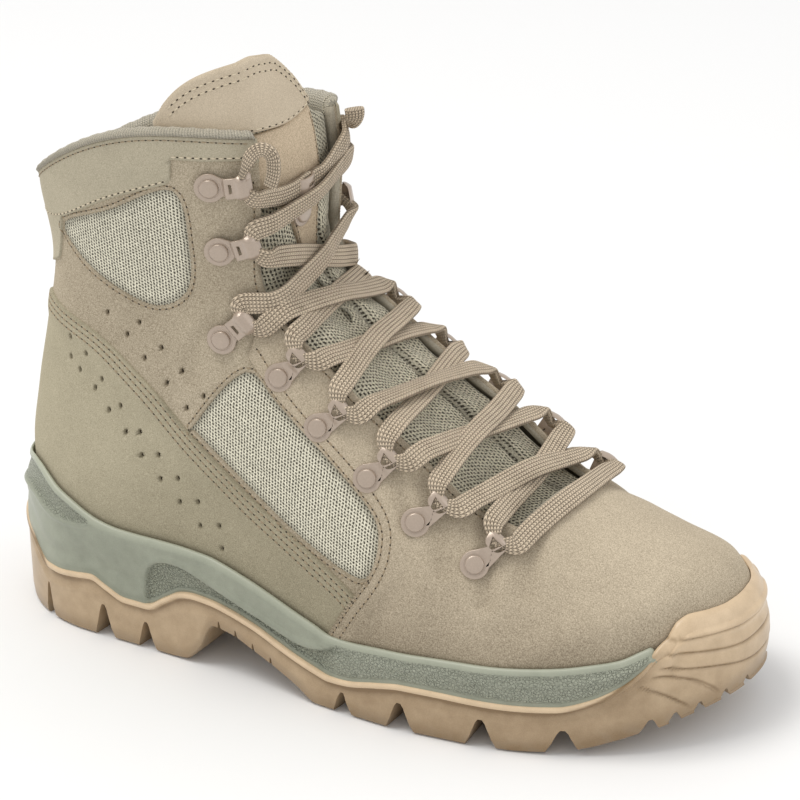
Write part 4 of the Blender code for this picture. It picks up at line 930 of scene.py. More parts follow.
def makeQuarter(side):
    seam = domainLine(panels["quarterSeam"], side, panels["seamSteps"])
    front = domainLine([(x + 5, z) for x, z in panels["vampEdge"][:4]], side, 4)[::-1]
    front = front[front[:, 0] < seam[-1, 0] + 12]
    lower = levelLine(5.5, 10.0, side, panels["soleLine"], 50)
    lower = lower[lower[:, 0] > front[-1, 0]]
    back = levelLine(10.0, seam[0, 0] / uScale, side, panels["backLine"], 40)
    top = upperAt(seam)[0]

    # painted shade towards the front and low down
    def paintedShadeAt(base):
        return 0.13 * ease(40, 110, base[:, 0] - 0.35 * (base[:, 2] - 80))

    def lift(base):
        return 0.3 + 0.85 * ease(14, 7, segmentDistance(base, top, closed=False))

    outline = joined(seam, front, lower, back)
    patch("quarter_panel_" + sideNames[side], outline, upperAt, quarterNubuck, 1.15, lift,
          relief=uneven(0.35, 41 + side, 2.4, "quarter", (side,)), pits=holesOf("quarterHoles", side),
          tone=leatherTone(50, "quarter", 12 + side, 0.55, paintedShadeAt), slot="nubuck",
          stands=("quarter_" + sideNames[side],))


def makeCuff():
    # one piece right round the back, in the domain unrolled from there
    edges = {side: unrolled(cuffLine(side)) for side in (-1, 1)}
    low, high, back = (panels[key] for key in ("cuffLow", "cuffHigh", "cuffBack"))
    throats = {side: unrolled(throatLine(14.6, high, side, 8)) for side in (-1, 1)}
    # the lowest stretch runs level round the back
    backRun = rowsOf(low * uScale, np.linspace(-back, back, 13))
    collar = rowsOf(high * uScale, np.linspace(throats[1][-1, 1], throats[-1][-1, 1], 60))
    outline = joined(edges[-1][::-1], backRun, edges[1], throats[1], collar[1:-1], throats[-1][::-1])

    patch("cuff", outline, backAt, cuffNubuck, 1.1, 1.1, relief=uneven(0.35, 51, 2.4),
          tone=leatherTone(0, "cuff", 17, 0.54), slot="nubuck", stands=("cuff_lateral", "cuff_medial"))


def makeWindows(side):
    for name, window, seed in (("collar_mesh_", "collarWindow", 61), ("side_mesh_", "sideWindow", 67)):
        # the cloth runs on a little behind the leather
        loop = windowLine(window, side)
        loop = loop - inwardSteps(loop, upperAt)[0] * panels["windowMargin"]
        # the tone is painted shade by the cloth's edge, under the leather's rim
        patch(name + sideNames[side], loop, upperAt, windowMesh, 0.1, 0.35, relief=uneven(0.5, seed, 1.6),
              tone=lambda base, normals, uv, distance: 0.6 + 0.4 * ease(2.2, 5.0, distance),
              slot="mesh_cloth", rim=-0.2, soften=0)


def slabObject(name, outer, inner, keep, material, **extra):
    # a wall between two grids of points, with a rim wherever its cells end
    rows, columns = outer.shape[:2]
    cells = {(i, j) for i in range(rows - 1) for j in range(columns - 1) if keep(i, j)}
    index = {}
    points = []

    def vert(spot, layer):
        key = (*spot, layer)
        if key not in index:
            index[key] = len(points)
            points.append((outer, inner)[layer][spot])
        return index[key]

    faces = []
    ring = ((0, 0), (0, 1), (1, 1), (1, 0))
    beyond = ((-1, 0), (0, 1), (1, 0), (0, -1))
    for i, j in sorted(cells):
        corners = [(i + di, j + dj) for di, dj in ring]
        faces.append([vert(c, 0) for c in corners])
        faces.append([vert(c, 1) for c in reversed(corners)])
        for k, (di, dj) in enumerate(beyond):
            a, b = corners[k], corners[(k + 1) % 4]
            atEnd = a[1] == b[1] and a[1] in (0, columns - 1)
            closes = atEnd and np.linalg.norm(outer[a[0], 0] - outer[a[0], -1]) < 0.2
            if (i + di, j + dj) not in cells and not closes:
                faces.append([vert(b, 0), vert(a, 0), vert(a, 1), vert(b, 1)])
    bm = fromFaces(points, faces)
    bmesh.ops.remove_doubles(bm, verts=bm.verts, dist=0.05 * mm)
    bmesh.ops.recalc_face_normals(bm, faces=bm.faces)
    return finished(name, bm, material, **extra)


def wallAt(t):
    # how thick the upper's wall is, thicker at the collar
    return lastFit["wall"] + (lastFit["collarWall"] - lastFit["wall"]) * ease(9, 13, t)


def makeShell():
    # lining and wall of the upper, open at the throat
    throatStart = lastFit["throatStart"]
    stretches = ((0, throatStart, 26), (throatStart, 10, 34), (10, lastFit["collar"], 34))
    ts = np.unique(np.concatenate([np.linspace(*stretch) for stretch in stretches]))
    cells, rest = 7, 26
    outer, inner = [], []
    for t in ts:
        halves = []
        for side in (-1, 1):
            full = float(fullLength(t, side))
            half = float(table(lastFit["throat"], t))
            arcs = np.concatenate([np.linspace(0, half, cells + 1), np.linspace(half, full, rest + 1)[1:]])
            halves.append(side * arcs / full)
        vs = np.concatenate([halves[0][::-1], halves[1][1:]])
        p, n = sample(skin, np.full(len(vs), t), vs)
        outer.append(p - n * 0.15)
        inner.append(p - n * wallAt(t))
    middle = cells + rest

    def keep(i, j):
        return not (middle - cells <= j < middle + cells and ts[i] >= throatStart - 1e-6)

    slabObject("lining_shell", np.array(outer), np.array(inner), keep, lining, slot="mesh_cloth",
               stands=("upper",))


makeShell()
print("shell built")
makeVamp()
for side in (-1, 1):
    makeAnkle(side)
    makeQuarter(side)
    makeWindows(side)
makeCuff()
print("panels built")


soleShape = {
    # x, top of the midsole, join of midsole and outsole, tread
    "heights": ((-9, 61, 40, 0.0), (-4, 62, 39, 0.0), (0, 63, 38, 0.0), (5, 65, 36, 0.0), (9.6, 66, 33, 0.0),
                (14, 65.5, 28.5, 0.0), (19, 63.5, 24.8, 0.0), (24, 61, 24.8, 0.0), (32, 58, 26, 0.0),
                (40, 54.8, 27.2, 0.0), (47, 52.8, 24.2, 0.0), (56, 51.6, 20.8, 0.0), (66, 51.4, 20.8, 0.0),
                (75, 51.5, 26, 0.0), (83, 51.5, 30.5, 0.5), (90, 51.2, 31.6, 6.0), (98, 50.7, 31.2, 19.0),
                (106, 49, 29.8, 18.0), (118, 45.4, 26.6, 13.5), (130, 40.8, 22, 8.5), (138, 37.6, 19.2, 4.5),
                (146, 34.6, 16.8, 0.0), (153, 31.8, 15.2, 0.0), (160, 31.4, 15.6, 0.0), (175, 32.4, 19, 0.0),
                (184, 32.9, 20.6, 0.0), (200, 33.7, 20.8, 0.0), (223, 34.5, 20.4, 0.0),
                (242, 35.8, 21.2, 1.0), (252, 37.2, 24.2, 3.2), (262, 39, 30, 6.5), (268, 41.8, 36, 8.6),
                (272, 43.6, 41, 9.8), (280, 47, 50, 13.0), (288, 48, 56, 16.0), (302, 48, 56, 20.0)),
    # the toe cap's edge, and how it falls away round the tip to the inner side
    "rand": ((262, 42.5), (272, 44), (275.8, 45.6), (277.2, 48.0), (279, 50.6), (283, 52.4), (288, 51.8),
             (292, 50.6), (298, 49.6), (302, 49.2)),
    "randTurn": ((-60, 0), (-25, 0), (-8, 0.6), (4, 0.4), (16, -1.6), (30, -4.2), (60, -5)),
    "recess": ((66, 14), (66.2, 25), (67, 31), (68.8, 36), (71.5, 39.6), (75.5, 41.8), (81.5, 42.5),
               (88, 41.5), (98.5, 37.8), (109.5, 33.8), (121, 29.7), (132.3, 26.0), (139, 24.4),
               (145, 24.2), (151, 25.6), (158, 29.2), (164, 31.2)),
    "crescent": ((-12, 12), (5, 11), (12, 11.5), (20, 12.5), (28, 10.5), (37, 6), (44, 0.5), (48, -4)),
    # x, width at the ground, depth
    "gaps": ((18.5, 5, 15.5), (45.2, 8, 15), (65.5, 7.5, 12.5), (101, 1.6, 4), (109, 1.6, 4), (117, 1.6, 4),
             (125.5, 1.6, 4), (158.5, 7.5, 9.5), (183, 10, 12.5), (215, 10.5, 12.5), (243.8, 11, 10),
             (270.6, 7, 5.5), (277.6, 4.6, 4), (283.6, 4.4, 4), (289, 4.2, 3.8), (293.6, 4, 3.2)),
    # drop below the midsole's rim and how far out, down its rolled edge
    "lip": ((7.0, 0.0), (0.9, 0.0), (0.2, 0.35), (0.0, 1.0), (0.3, 1.8), (1.0, 2.35), (2.0, 2.6)),
    # the outsole's rim: out from the feather line and drop, then drop and out for the toe cap
    "rim": ((4.6, 0.0, 0.35, 0.0), (6.3, -0.1, 0.0, 0.35), (7.0, 0.2, 0.0, 1.0), (7.3, 0.8, 0.4, 1.8),
            (7.3, 1.6, 1.3, 2.5), (7.0, 2.2, 2.6, 3.0), (6.2, 2.6, 4.2, 3.4), (5.6, 2.75, 4.6, 3.45)),
    # arcs from the toe's tip and heights of the grooves that fan out round the toe
    "grooves": (((-45, 46.2), (-24, 45.0), (-2, 43.2), (20, 43.4), (42, 46.0)),
                ((-45, 41.4), (-31, 39.6), (-6, 36.4), (14, 36.4), (34, 39.6), (45, 41.4)),
                ((-46, 36.2), (-27, 32.8), (-2, 27.8), (12, 27.8), (32, 32.8), (46, 36.2)),
                ((-49, 33.0), (-42, 32.2), (-34, 29.6), (-26, 23.6), (-22, 19)),
                ((-54, 30.4), (-46, 26.6), (-37, 20.2), (-33, 16)),
                ((22, 19), (26, 23.6), (34, 29.6), (42, 32.2), (49, 33.0)),
                ((33, 16), (37, 20.2), (46, 26.6), (54, 30.4))),
    "stations": 640, "rows": 44,
    "toeRows": 84, "reach": 15.0, "gap": 0.35, "foamWall": 6.6,
    "recessDepth": 1.9, "crescentDepth": 0.9, "turnWeight": 45, "panelLift": 1.6,
}


def featherHeight(x):
    t = np.linspace(0, lastFit["heelSection"], 81)
    columns = [smooth(np.arange(17), lastShape[key], t)[::-1] for key in ("backX", "backZ")]
    return np.interp(x, *columns)


def soleOutline(count):
    out = []
    start = lastFit["heelStart"]
    for side in (-1, 1):
        x = start + (lastShape["backX"][0] - start) * (1 - np.cos(np.linspace(0, 1, 300) * math.pi / 2))
        rear = rowsOf(x, side * featherHalf(x, side), featherHeight(x))
        line = np.concatenate([turnFoot(rear), halfSection(0.0, side, 300)[-2::-1]])
        # stations stand closer where the outline turns
        heading = np.unwrap(np.arctan2(*np.diff(line[:, :2], axis=0).T[::-1]))
        turning = np.concatenate([[0, 0], np.cumsum(np.abs(np.diff(heading)))])
        measure = arcsOf(line) + soleShape["turnWeight"] * turning
        p = spread(np.linspace(0, measure[-1], count // 2 + 1), measure, line)
        out.append(p[::-1][:-1] if side > 0 else p[:-1])
    return np.concatenate(out)


def gridTree(*layers):
    # a search tree of grids of points, each with a test of which cells it keeps
    points, faces = [], []
    for grid, keep in layers:
        first = len(points)
        rows, columns = grid.shape[:2]
        points.extend(Vector(p) for p in grid.reshape(-1, 3))
        for i in range(rows - 1):
            for j in range(columns - 1):
                a = first + i * columns + j
                if keep(i, j):
                    faces.append((a, a + 1, a + columns + 1, a + columns))
    return BVHTree.FromPolygons(points, faces)


def makeEdge():
    base = soleOutline(soleShape["stations"])
    # ease the small kinks where the tables meet
    plan = base[:, :2]
    for _ in range(6):
        plan[:] = (plan * 2 + np.roll(plan, 1, axis=0) + np.roll(plan, -1, axis=0)) / 4
    ahead = np.roll(base, -1, axis=0) - np.roll(base, 1, axis=0)
    normal = unit(rowsOf(ahead[:, 1], -ahead[:, 0], 0.0))
    tree = gridTree((skin["grid"] + skin["normals"] * soleShape["panelLift"], lambda i, j: True))
    run = arcsOf(np.concatenate([base, base[:1]]))[:-1]
    tip = run[np.argmax(base[:, 0])]
    return {"base": base, "normal": normal, "x": base[:, 0], "tree": tree,
            "toe": ease(268, 277, base[:, 0]), "fromTip": run - tip}


edge = makeEdge()


def levelRing(offset, height):
    out = edge["base"] + edge["normal"] * np.reshape(np.broadcast_to(offset, len(edge["base"])), (-1, 1))
    out[:, 2] = height
    return out


def reachAt(height):
    # how far the upper's panels stand out from the feather line at a height
    out = []
    far = 40
    for p, n, z in zip(edge["base"], edge["normal"], np.broadcast_to(height, len(edge["base"]))):
        start = Vector((p[0] + far * n[0], p[1] + far * n[1], float(z)))
        hit, _, _, run = edge["tree"].ray_cast(start, Vector((-n[0], -n[1], 0)), 2 * far)
        out.append(far - run if hit is not None else 1.0)
    out = np.array(out)
    return (np.roll(out, 1) + 2 * out + np.roll(out, -1)) / 4


def mixed(plain, toe, share):
    return plain * (1 - share) + toe * share


def heightsOf(column, x=None):
    return table(soleShape["heights"], edge["x"] if x is None else x, column)


def joinHeight():
    return np.minimum(heightsOf(2), heightsOf(1) - 0.4)


def ringFaces(bm, rings, caps=False):
    verts = skinRings(bm, rings)
    count = len(rings[0])
    for ring in (verts[0], verts[-1]) if caps else ():
        for k in range(count // 2):
            corners = [ring[k], ring[k + 1], ring[count - k - 1], ring[-k % count]]
            corners = [c for i, c in enumerate(corners) if c not in corners[:i]]
            if len(corners) > 2:
                bm.faces.new(corners)
    bmesh.ops.recalc_face_normals(bm, faces=bm.faces)


def bareObject(name, bm):
    mesh = bpy.data.meshes.new(name)
    bm.to_mesh(mesh)
    bm.free()
    return bpy.data.objects.new(name, mesh)


def recessShare(x, z):
    # 1 inside the long recess, 0 outside, with a soft step between
    line = resample(spline(soleShape["recess"], 5), 0.8, closed=False)
    spots = rowsOf(x, z)
    far = segmentDistance(spots, line, closed=False)
    inside = insidePolygon(spots, np.concatenate([line, [(164, -20), (66, -20)]]))
    return ease(-0.9, 0.9, np.where(inside, far, -far)) * (x < 172)


def midsoleRings():
    x = edge["x"]
    rim = heightsOf(1)
    join = joinHeight()
    gap = soleShape["gap"] + 0.3 * (1 - ease(150, 172, x)) * ease(-10, 0, x)
    # the foam runs in under the toe cap, and its rim stands out less round the heel
    hidden = ease(271, 275, x)
    flare = 1 - 0.45 * (1 - ease(4, 26, x))
    rings = []
    for drop, out in soleShape["lip"]:
        z = rim - (drop + 8 * hidden)
        rings.append(levelRing(reachAt(z) + gap + out * flare * (1 - hidden), z))
    grains = [np.zeros(len(x))] * len(rings)
    lastDrop, lastOut = soleShape["lip"][-1]
    start = rim - lastDrop - 8 * hidden
    low = np.minimum(join - 0.6, start - 1)
    crescentLow = rim - table(soleShape["crescent"], x)
    atHeel = 1 - ease(42, 48, x)
    behindToes = 1 - ease(150, 160, x)
    for k in range(1, soleShape["rows"] + 1):
        share = (k / soleShape["rows"]) ** 0.95
        z = mixed(start, low, share)
        wall = reachAt(z) + gap + lastOut * flare
        plain = mixed(wall, soleShape["foamWall"], ease(0, 0.35, share))
        out = (plain + wall + np.sqrt((plain - wall) ** 2 + 1.2)) / 2 - 0.3 - 3.4 * hidden
        under = recessShare(x, z)
        ledge = ease(2.6, 1.2, z - join)
        out = out - soleShape["recessDepth"] * under * (1 - ease(146, 160, x)) * (1 - 0.55 * ledge)
        # the rolled lip over the recess, and the crescent at the heel with its lip
        out = out + 0.55 * recessShare(x, z - 3.4) * (1 - under) * behindToes
        crescent = ease(-0.7, 0.7, z - crescentLow) * atHeel
        out = out - soleShape["crescentDepth"] * crescent * ease(0.6, 2.4, rim - z)
        out = out + 0.7 * np.exp(-((z - crescentLow + 1.3) / 1.2) ** 2) * atHeel
        out = out - 0.7 * np.exp(-((z - join - 9) / 5.0) ** 2) * (1 - ease(40, 58, x))
        rings.append(levelRing(out, z))
        grained = under * (1 - ledge) + crescent * ease(0.6, 1.6, rim - z)
        grained = grained + ease(152, 163, x) * ease(1.2, 2.4, rim - z) * (1 - ledge)
        grains.append(np.clip(grained, 0, 1))
    rings.append(levelRing(5.2, low - 1.5))
    grains.append(np.zeros(len(x)))
    return rings, grains


def makeMidsole():
    rings, grains = midsoleRings()
    bm = bmesh.new()
    ringFaces(bm, rings)
    obj = finished("midsole_cup", bm, midsoleFoam, slot="sole_foam", stands=("midsole",), smoothAngle=60)
    outward(obj.data)
    grain = np.concatenate(grains)
    z = np.concatenate([r[:, 2] for r in rings])
    x, join, rim = (np.tile(values, len(rings)) for values in (edge["x"], joinHeight(), heightsOf(1)))
    inner = recessShare(x, z) * (1 - recessShare(x, z + 2.2)) * (1 - ease(150, 160, x))
    # painted highlight on the rolled lip below the rim, lighter where grained and towards the heel end,
    # painted shade along the recess's upper edge and just above the join, and a deeper tone further down the
    # wall
    tone = 0.5 + 0.26 * ease(3.2, 0.0, rim - z) + 0.3 * grain
    tone += 0.2 * (1 - ease(10, 40, x)) - 0.22 * inner - 0.1 * np.exp(-((z - join - 1.6) / 1.0) ** 2)
    tone -= 0.07 * ease(0, 14, rim - z) * (1 - ease(140, 160, x))
    paint(obj, "tone", tone)
    paint(obj, "grain", grain)
    # painted shade along the rim, under the upper, and along the join with the outsole
    paint(obj, "dirt", 0.12 * np.exp(-(rim - z) / 1.2) + 0.1 * np.exp(-np.abs(z - join) / 1.0))


def outward(mesh):
    # turns an open shell so that most of it faces away from its middle
    normals = np.empty(len(mesh.polygons) * 3, np.float32)
    centres = np.empty(len(mesh.polygons) * 3, np.float32)
    mesh.polygons.foreach_get("normal", normals)
    mesh.polygons.foreach_get("center", centres)
    c = centres.reshape(-1, 3)
    fromMiddle = c - (c.max(axis=0) + c.min(axis=0)) / 2
    if (fromMiddle[:, :2] * normals.reshape(-1, 3)[:, :2]).sum() < 0:
        mesh.flip_normals()


def grooveEnds(line, fromTip, reach, beyond):
    # fades a groove out towards both of its ends
    start, end = line[0][0], line[-1][0]
    return ease(start - beyond, start + reach, fromTip) * (1 - ease(end - reach, end + beyond, fromTip))


def outsoleRings():
    x = edge["x"]
    join = heightsOf(2)
    tread = heightsOf(3)
    toeShare = edge["toe"]
    rand = table(soleShape["rand"], x) + table(soleShape["randTurn"], edge["fromTip"]) * ease(278, 285, x)
    gap = soleShape["gap"]

    def rimRing(plain, drop, toeDrop, toeOut):
        onPanels = levelRing(reachAt(rand - toeDrop) + gap + toeOut, rand - toeDrop)
        return mixed(levelRing(plain, join - drop), onPanels, toeShare[:, None])

    rings = [rimRing(3.5, 4, 8, 0.0)] + [rimRing(*row) for row in soleShape["rim"]]
    bulge = reachAt(rand - 7.5) + gap + 3.2
    highest = mixed(join, rand - 4.8, toeShare) - 2.9 * (1 - toeShare)
    for k in range(1, soleShape["toeRows"] + 1):
        share = k / soleShape["toeRows"]
        z = mixed(highest, tread + 1.2, share)
        over = z - tread
        plain = 5.5 + 1.1 * ease(0.0, 6.0, join - 2.9 - z) - 0.5 * ease(6, 0, over)
        toe = mixed(4.9 + 1.2 * ease(0, 9, over), bulge, ease(0, 1, (z - (rand - 17)) / 8.0))
        toe = mixed(toe, reachAt(z) + gap + 3.4, ease(rand - 8.5, rand - 4.2, z))
        toe = toe + 0.8 * np.exp(-((z - (rand - 6.5)) / 2.6) ** 2)
        fan = np.zeros(len(x))
        for line in soleShape["grooves"]:
            fade = grooveEnds(line, edge["fromTip"], 5, 1)
            d = z - table(line, edge["fromTip"])
            fan -= fade * 0.75 * np.exp(-(d / 0.62) ** 2)
            fan += fade * 0.55 * np.where(d > 0, np.exp(-d / 2.6), 0)
        rings.append(levelRing(mixed(plain, toe, toeShare) + fan, z))
    rings.append(levelRing(rings[-1][:, 0] * 0 + 5.6, tread + 0.5))
    rings.append(levelRing(4.8, tread))
    rings.append(levelRing(-soleShape["reach"], tread))
    rings.append(levelRing(-soleShape["reach"] - 2, tread + 5))
    return rings


def gapCutters():
    # wedges between the lugs, square to the edge of the sole
    bm = bmesh.new()
    half = len(edge["base"]) // 2
    for x, width, depth in soleShape["gaps"]:
        flank = ((0.5, -3.0), (0.5, 0.0), (0.3, depth * 0.45), (0.16, depth * 0.85), (0.07, depth))
        profile = [(-a, b) for a, b in flank] + list(flank[::-1])
        z = float(heightsOf(3, x))
        for ring in (slice(0, half + 1), slice(len(edge["base"]) - 1, half - 1, -1)):
            alongX = edge["base"][ring, 0]
            n = unit(spread(x, alongX, edge["normal"][ring]))
            ahead = np.array([-n[1], n[0], 0])
            start = np.array([x, np.interp(x, alongX, edge["base"][ring, 1]), 0])
            ends = skinRings(bm, [
                [start + n * reach + ahead * (a * width * scale) + (0, 0, z + b) for a, b in profile]
                for reach, scale in ((12.0, 1.35), (-soleShape["reach"] - 1, 0.8))])
            bm.faces.new(ends[0][::-1])
            bm.faces.new(ends[1])
    bmesh.ops.recalc_face_normals(bm, faces=bm.faces)
    return bareObject("gaps", bm)


def cutLugs():
    bm = bmesh.new()
    ringFaces(bm, outsoleRings(), caps=True)
    blank = bareObject("outsole_blank", bm)
    cutter = gapCutters()
    for obj in (blank, cutter):
        bpy.context.scene.collection.objects.link(obj)
    modifier = blank.modifiers.new("gaps", "BOOLEAN")
    modifier.operation = "DIFFERENCE"
    modifier.solver = "EXACT"
    modifier.object = cutter
    cut = bpy.data.meshes.new_from_object(blank.evaluated_get(bpy.context.evaluated_depsgraph_get()))
    bpy.data.objects.remove(blank)
    bpy.data.objects.remove(cutter)
    bm = bmesh.new()
    bm.from_mesh(cut)
    bpy.data.meshes.remove(cut)
    return bm


def makeOutsole():
    obj = finished("outsole_rubber", cutLugs(), outsoleRubber, slot="sole_rubber", stands=("outsole",),
                   smoothAngle=38)
    p = cornersOf(obj.data, origin)
    x, y, z = p.T
    below = heightsOf(2, x) - z
    # nearness to the ground, where painted shade lies
    shadeMask = ease(9, 0, z - heightsOf(3, x))
    atToe = ease(270, 279, x)
    rim = ease(3.2, 2.4, below) * (1 - atToe)
    groove = np.exp(-((below - 3.6) / 1.1) ** 2) * (1 - atToe)
    # painted highlight on the rim, painted shade in the groove below it, painted light high on the toe cap,
    # painted shade near the ground, and a deeper tone forward of the arch
    tone = 0.36 + 0.42 * rim - 0.3 * groove + 0.3 * atToe * ease(20, 48, z)
    tone -= 0.2 * shadeMask + 0.12 * ease(140, 160, x) * (1 - atToe) * (1 - rim)
    # each vertex's arc from the tip, from its heading seen from the middle of the toe
    middle = (250, 8)
    toe = edge["x"] > middle[0] + 5
    headings = np.arctan2(edge["base"][toe, 1] - middle[1], edge["x"][toe] - middle[0])
    order = np.argsort(headings)
    arcs = edge["fromTip"][toe][order]
    fromTip = np.interp(np.arctan2(y - middle[1], x - middle[0]), headings[order], arcs)
    # painted shade along each groove round the toe
    for line in soleShape["grooves"]:
        dark = np.exp(-((z - table(line, fromTip)) / 0.6) ** 2)
        tone -= 0.42 * atToe * grooveEnds(line, fromTip, 4, 0) * dark
    paint(obj, "tone", tone)
    paint(obj, "grain", np.zeros(len(p)))
    # painted shade near the ground, mixed in as a dark colour
    paint(obj, "dirt", 0.25 * shadeMask)


def makeFootbed():
    bm = bmesh.new()
    floor = edge["base"][:, 2]
    steps = ((3.4, 1.0), (3.8, 3.6), (5.2, 4.1), (9, 4.2))
    rings = [levelRing(-inwards, floor + up) for inwards, up in steps]
    ringFaces(bm, rings, caps=True)
    finished("footbed", bm, footbedCloth, slot="footbed", stands=("insole",), smoothAngle=50)


makeMidsole()
makeOutsole()
makeFootbed()
print("sole built")


tongueShape = {
    # section, half width to the outer side, to the inner side, how far it sinks in the middle, thickness
    "rows": ((3.9, 18, 18, 4, 2.5), (4.1, 22, 22, 4, 3.0), (4.5, 31, 31, 5, 3.5), (6.0, 37, 37, 10, 4.5),
             (8.0, 40, 40, 13, 5.5), (10.0, 44, 44, 13, 6.0), (12.0, 48, 48, 9, 7.0), (14.0, 57, 56, 6, 7.0),
             (15.0, 68, 60, 5, 7.0), (15.5, 74, 60, 5, 6.5), (16.0, 75, 60, 6, 6.0),
             (16.5, 75, 60, 6.5, 5.5)),
    # arc and section of the top edge
    "top": ((-75, 14.8), (-67, 15.2), (-60, 15.5), (-50, 15.76), (-40, 15.93), (-30, 16.05),
            (-18, 16.15), (-10, 16.15), (-4, 16.04), (2, 15.8), (7, 15.5), (12, 15.3), (20, 15.14),
            (32, 14.96), (46, 14.8), (60, 14.7)),
    # section and arc: the strip's outline, and the band's folded lower edge
    "strip": ((14.75, -60), (14.9, -46), (15.05, -30), (15.2, -10), (15.36, 8.0), (14.6, 9.6), (13.6, 11.0),
              (12.5, 10.8), (11.5, 9.0), (10.8, 6.5), (10.6, 0), (10.75, -5), (11.4, -9), (12.4, -13),
              (13.3, -21), (14.2, -36)),
    "hem": ((14.78, -67), (14.94, -56), (15.04, -44), (15.1, -30), (15.18, -14), (15.28, -1), (15.38, 8.4)),
    "fold": 13.5, "foldDepth": 2.6, "end": 16.5, "gathered": 14.0, "columns": 61,
}


def tongueDepth(t, arc, relief=True):
    sink = table(tongueShape["rows"], t, 3)
    throat = table(lastFit["throat"], np.minimum(t, lastFit["collar"]))
    wall = wallAt(np.minimum(t, lastFit["collar"]))
    depth = wall + 1.0 + sink * np.clip(1 - (arc / throat) ** 2, 0, 1)
    if relief:
        low = ease(4.6, 5.4, t) * (1 - ease(11.5, 12.6, t))
        past = arc - (tongueShape["fold"] + 1.2 * np.sin(t * 1.7))
        depth = depth + low * (tongueShape["foldDepth"] * np.exp(-(past / 1.3) ** 2)
                               - 1.0 * np.exp(-((past - 5.5) / 3.5) ** 2)
                               - 0.9 * np.exp(-((past + 9) / 7.0) ** 2))
        # cross wrinkles where the laces press
        depth = depth + low * 0.35 * np.sin(t * 7.5 + arc * 0.12)
    return depth


def tongueAt(uv, relief=True):
    # v is an arc in mm here; the surface runs on a little above the last
    e = 0.35
    lastEnd = 16.0
    tail = 0.3

    def spot(q):
        t = q[:, 0] / uScale
        arc = q[:, 1]
        share = arc / np.where(arc < 0, fullLength(t, -1), fullLength(t, 1))
        p, n = sample(skin, t, share)
        beyond = np.clip(t - lastEnd, 0, 1)[:, None]
        if beyond.any():
            p = p + (p - sample(skin, t * 0 + lastEnd - tail, share)[0]) / tail * beyond
        return p - n * np.reshape(tongueDepth(t, arc, relief), (-1, 1)), n

    p, n = spot(uv)
    high = np.minimum(uv[:, 0] + e, tongueShape["end"] * uScale)
    du = spot(rowsOf(high, uv[:, 1]))[0] - spot(rowsOf(high - 2 * e, uv[:, 1]))[0]
    dv = spot(uv + (0, e))[0] - spot(uv - (0, e))[0]
    normal = unit(np.cross(dv, du))
    return p, normal * np.sign((normal * n).sum(axis=1, keepdims=True))


def plainTongue(uv):
    return tongueAt(uv, False)


def tongueLine(points, steps=6, rise=0.0):
    return spline([((t + rise) * uScale, arc) for t, arc in points], steps)


def makeTongueBody():
    gathered = tongueShape["gathered"]
    columns = tongueShape["columns"]
    levels = np.concatenate([np.linspace(3.9, gathered, 104), np.linspace(gathered, 16.0, 40)[1:]])
    cs = np.sin(np.linspace(-math.pi / 2, math.pi / 2, columns))
    outer, inner, arcs, sections = [], [], [], []
    for level in levels:
        halves = [float(table(tongueShape["rows"], level, k)) for k in (1, 2)]
        arc = np.where(cs < 0, *halves) * cs
        # the last rows gather to the sloping top edge
        climb = table(tongueShape["top"], arc) - 0.02 - gathered
        t = np.where(level > gathered, gathered + (level - gathered) / 2 * climb, level)
        p, n = tongueAt(rowsOf(t * uScale, arc))
        thick = table(tongueShape["rows"], t, 4)
        fromTop = (16 - level) / 2 * climb * 26
        swell = np.sqrt(np.clip(1 - np.abs(cs) ** 8, 0.02, 1))
        swell = swell * np.sqrt(np.clip(1 - np.clip(1 - fromTop / 4.0, 0, 1) ** 2, 0.03, 1))
        outer.append(p - n * (thick * (1 - swell) / 2)[:, None])
        inner.append(p - n * (thick * (1 + swell) / 2)[:, None])
        arcs.append(arc)
        sections.append(t)
    outer, inner, arcs, sections = (np.array(rows) for rows in (outer, inner, arcs, sections))
    obj = slabObject("tongue_body", outer, inner, lambda i, j: True, tongueMesh, slot="tongue_cloth",
                     stands=("tongue",))
    tree = treeOf(outer.reshape(-1, 3))
    near = np.array([tree.find(q)[1] for q in cornersOf(obj.data, origin)])
    arc, t = arcs.ravel()[near], sections.ravel()[near]
    middle = columns // 2
    flatUv(obj, rowsOf(arc, np.interp(t, sections[:, middle], arcsOf(outer[:, middle]))))
    # painted shade along the fold, and a deeper tone on the inner half near the top
    tone = 0.9 - 0.45 * np.exp(-((arc - tongueShape["fold"]) / 2.2) ** 2) * (t < 12.4)
    tone -= 0.25 * ease(12.2, 13.2, t) * (arc > 0)
    paint(obj, "tone", tone)


def makeTonguePanels():
    strip = tongueShape["strip"]
    outline = joined(tongueLine(strip[:5]), tongueLine(strip[5:10]), tongueLine(strip[10:]))

    def stripTone(base, normals, uv, _):
        return 0.5 + 0.14 * wave(uv, 73, 1.5) + 0.1 * ease(280, 310, uv[:, 0])

    patch("tongue_strip", outline, plainTongue, tongueSuede, 1.0, 0.5, relief=uneven(0.55, 71, 1.8),
          tone=stripTone, slot="suede", step=1.5)
    arcs = np.concatenate([np.linspace(8.4, -20, 24), np.linspace(-22, -67, 16)])
    high = rowsOf(table(tongueShape["top"], arcs) * uScale + 0.5, arcs)

    def bandRelief(base, uv, distance):
        # a low roll along the folded edges
        return 0.8 * wave(uv, 77, 2.0) + 0.35 * np.exp(-((distance - 1.6) / 1.1) ** 2)

    def bandTone(base, normals, uv, _):
        return 0.58 + 0.12 * wave(uv, 79, 1.5)

    patch("tongue_band", joined(tongueLine(tongueShape["hem"]), high), plainTongue, tongueNubuck, 1.1, 1.5,
          relief=bandRelief, tone=bandTone, slot="nubuck", step=1.4, rim=-1.6)


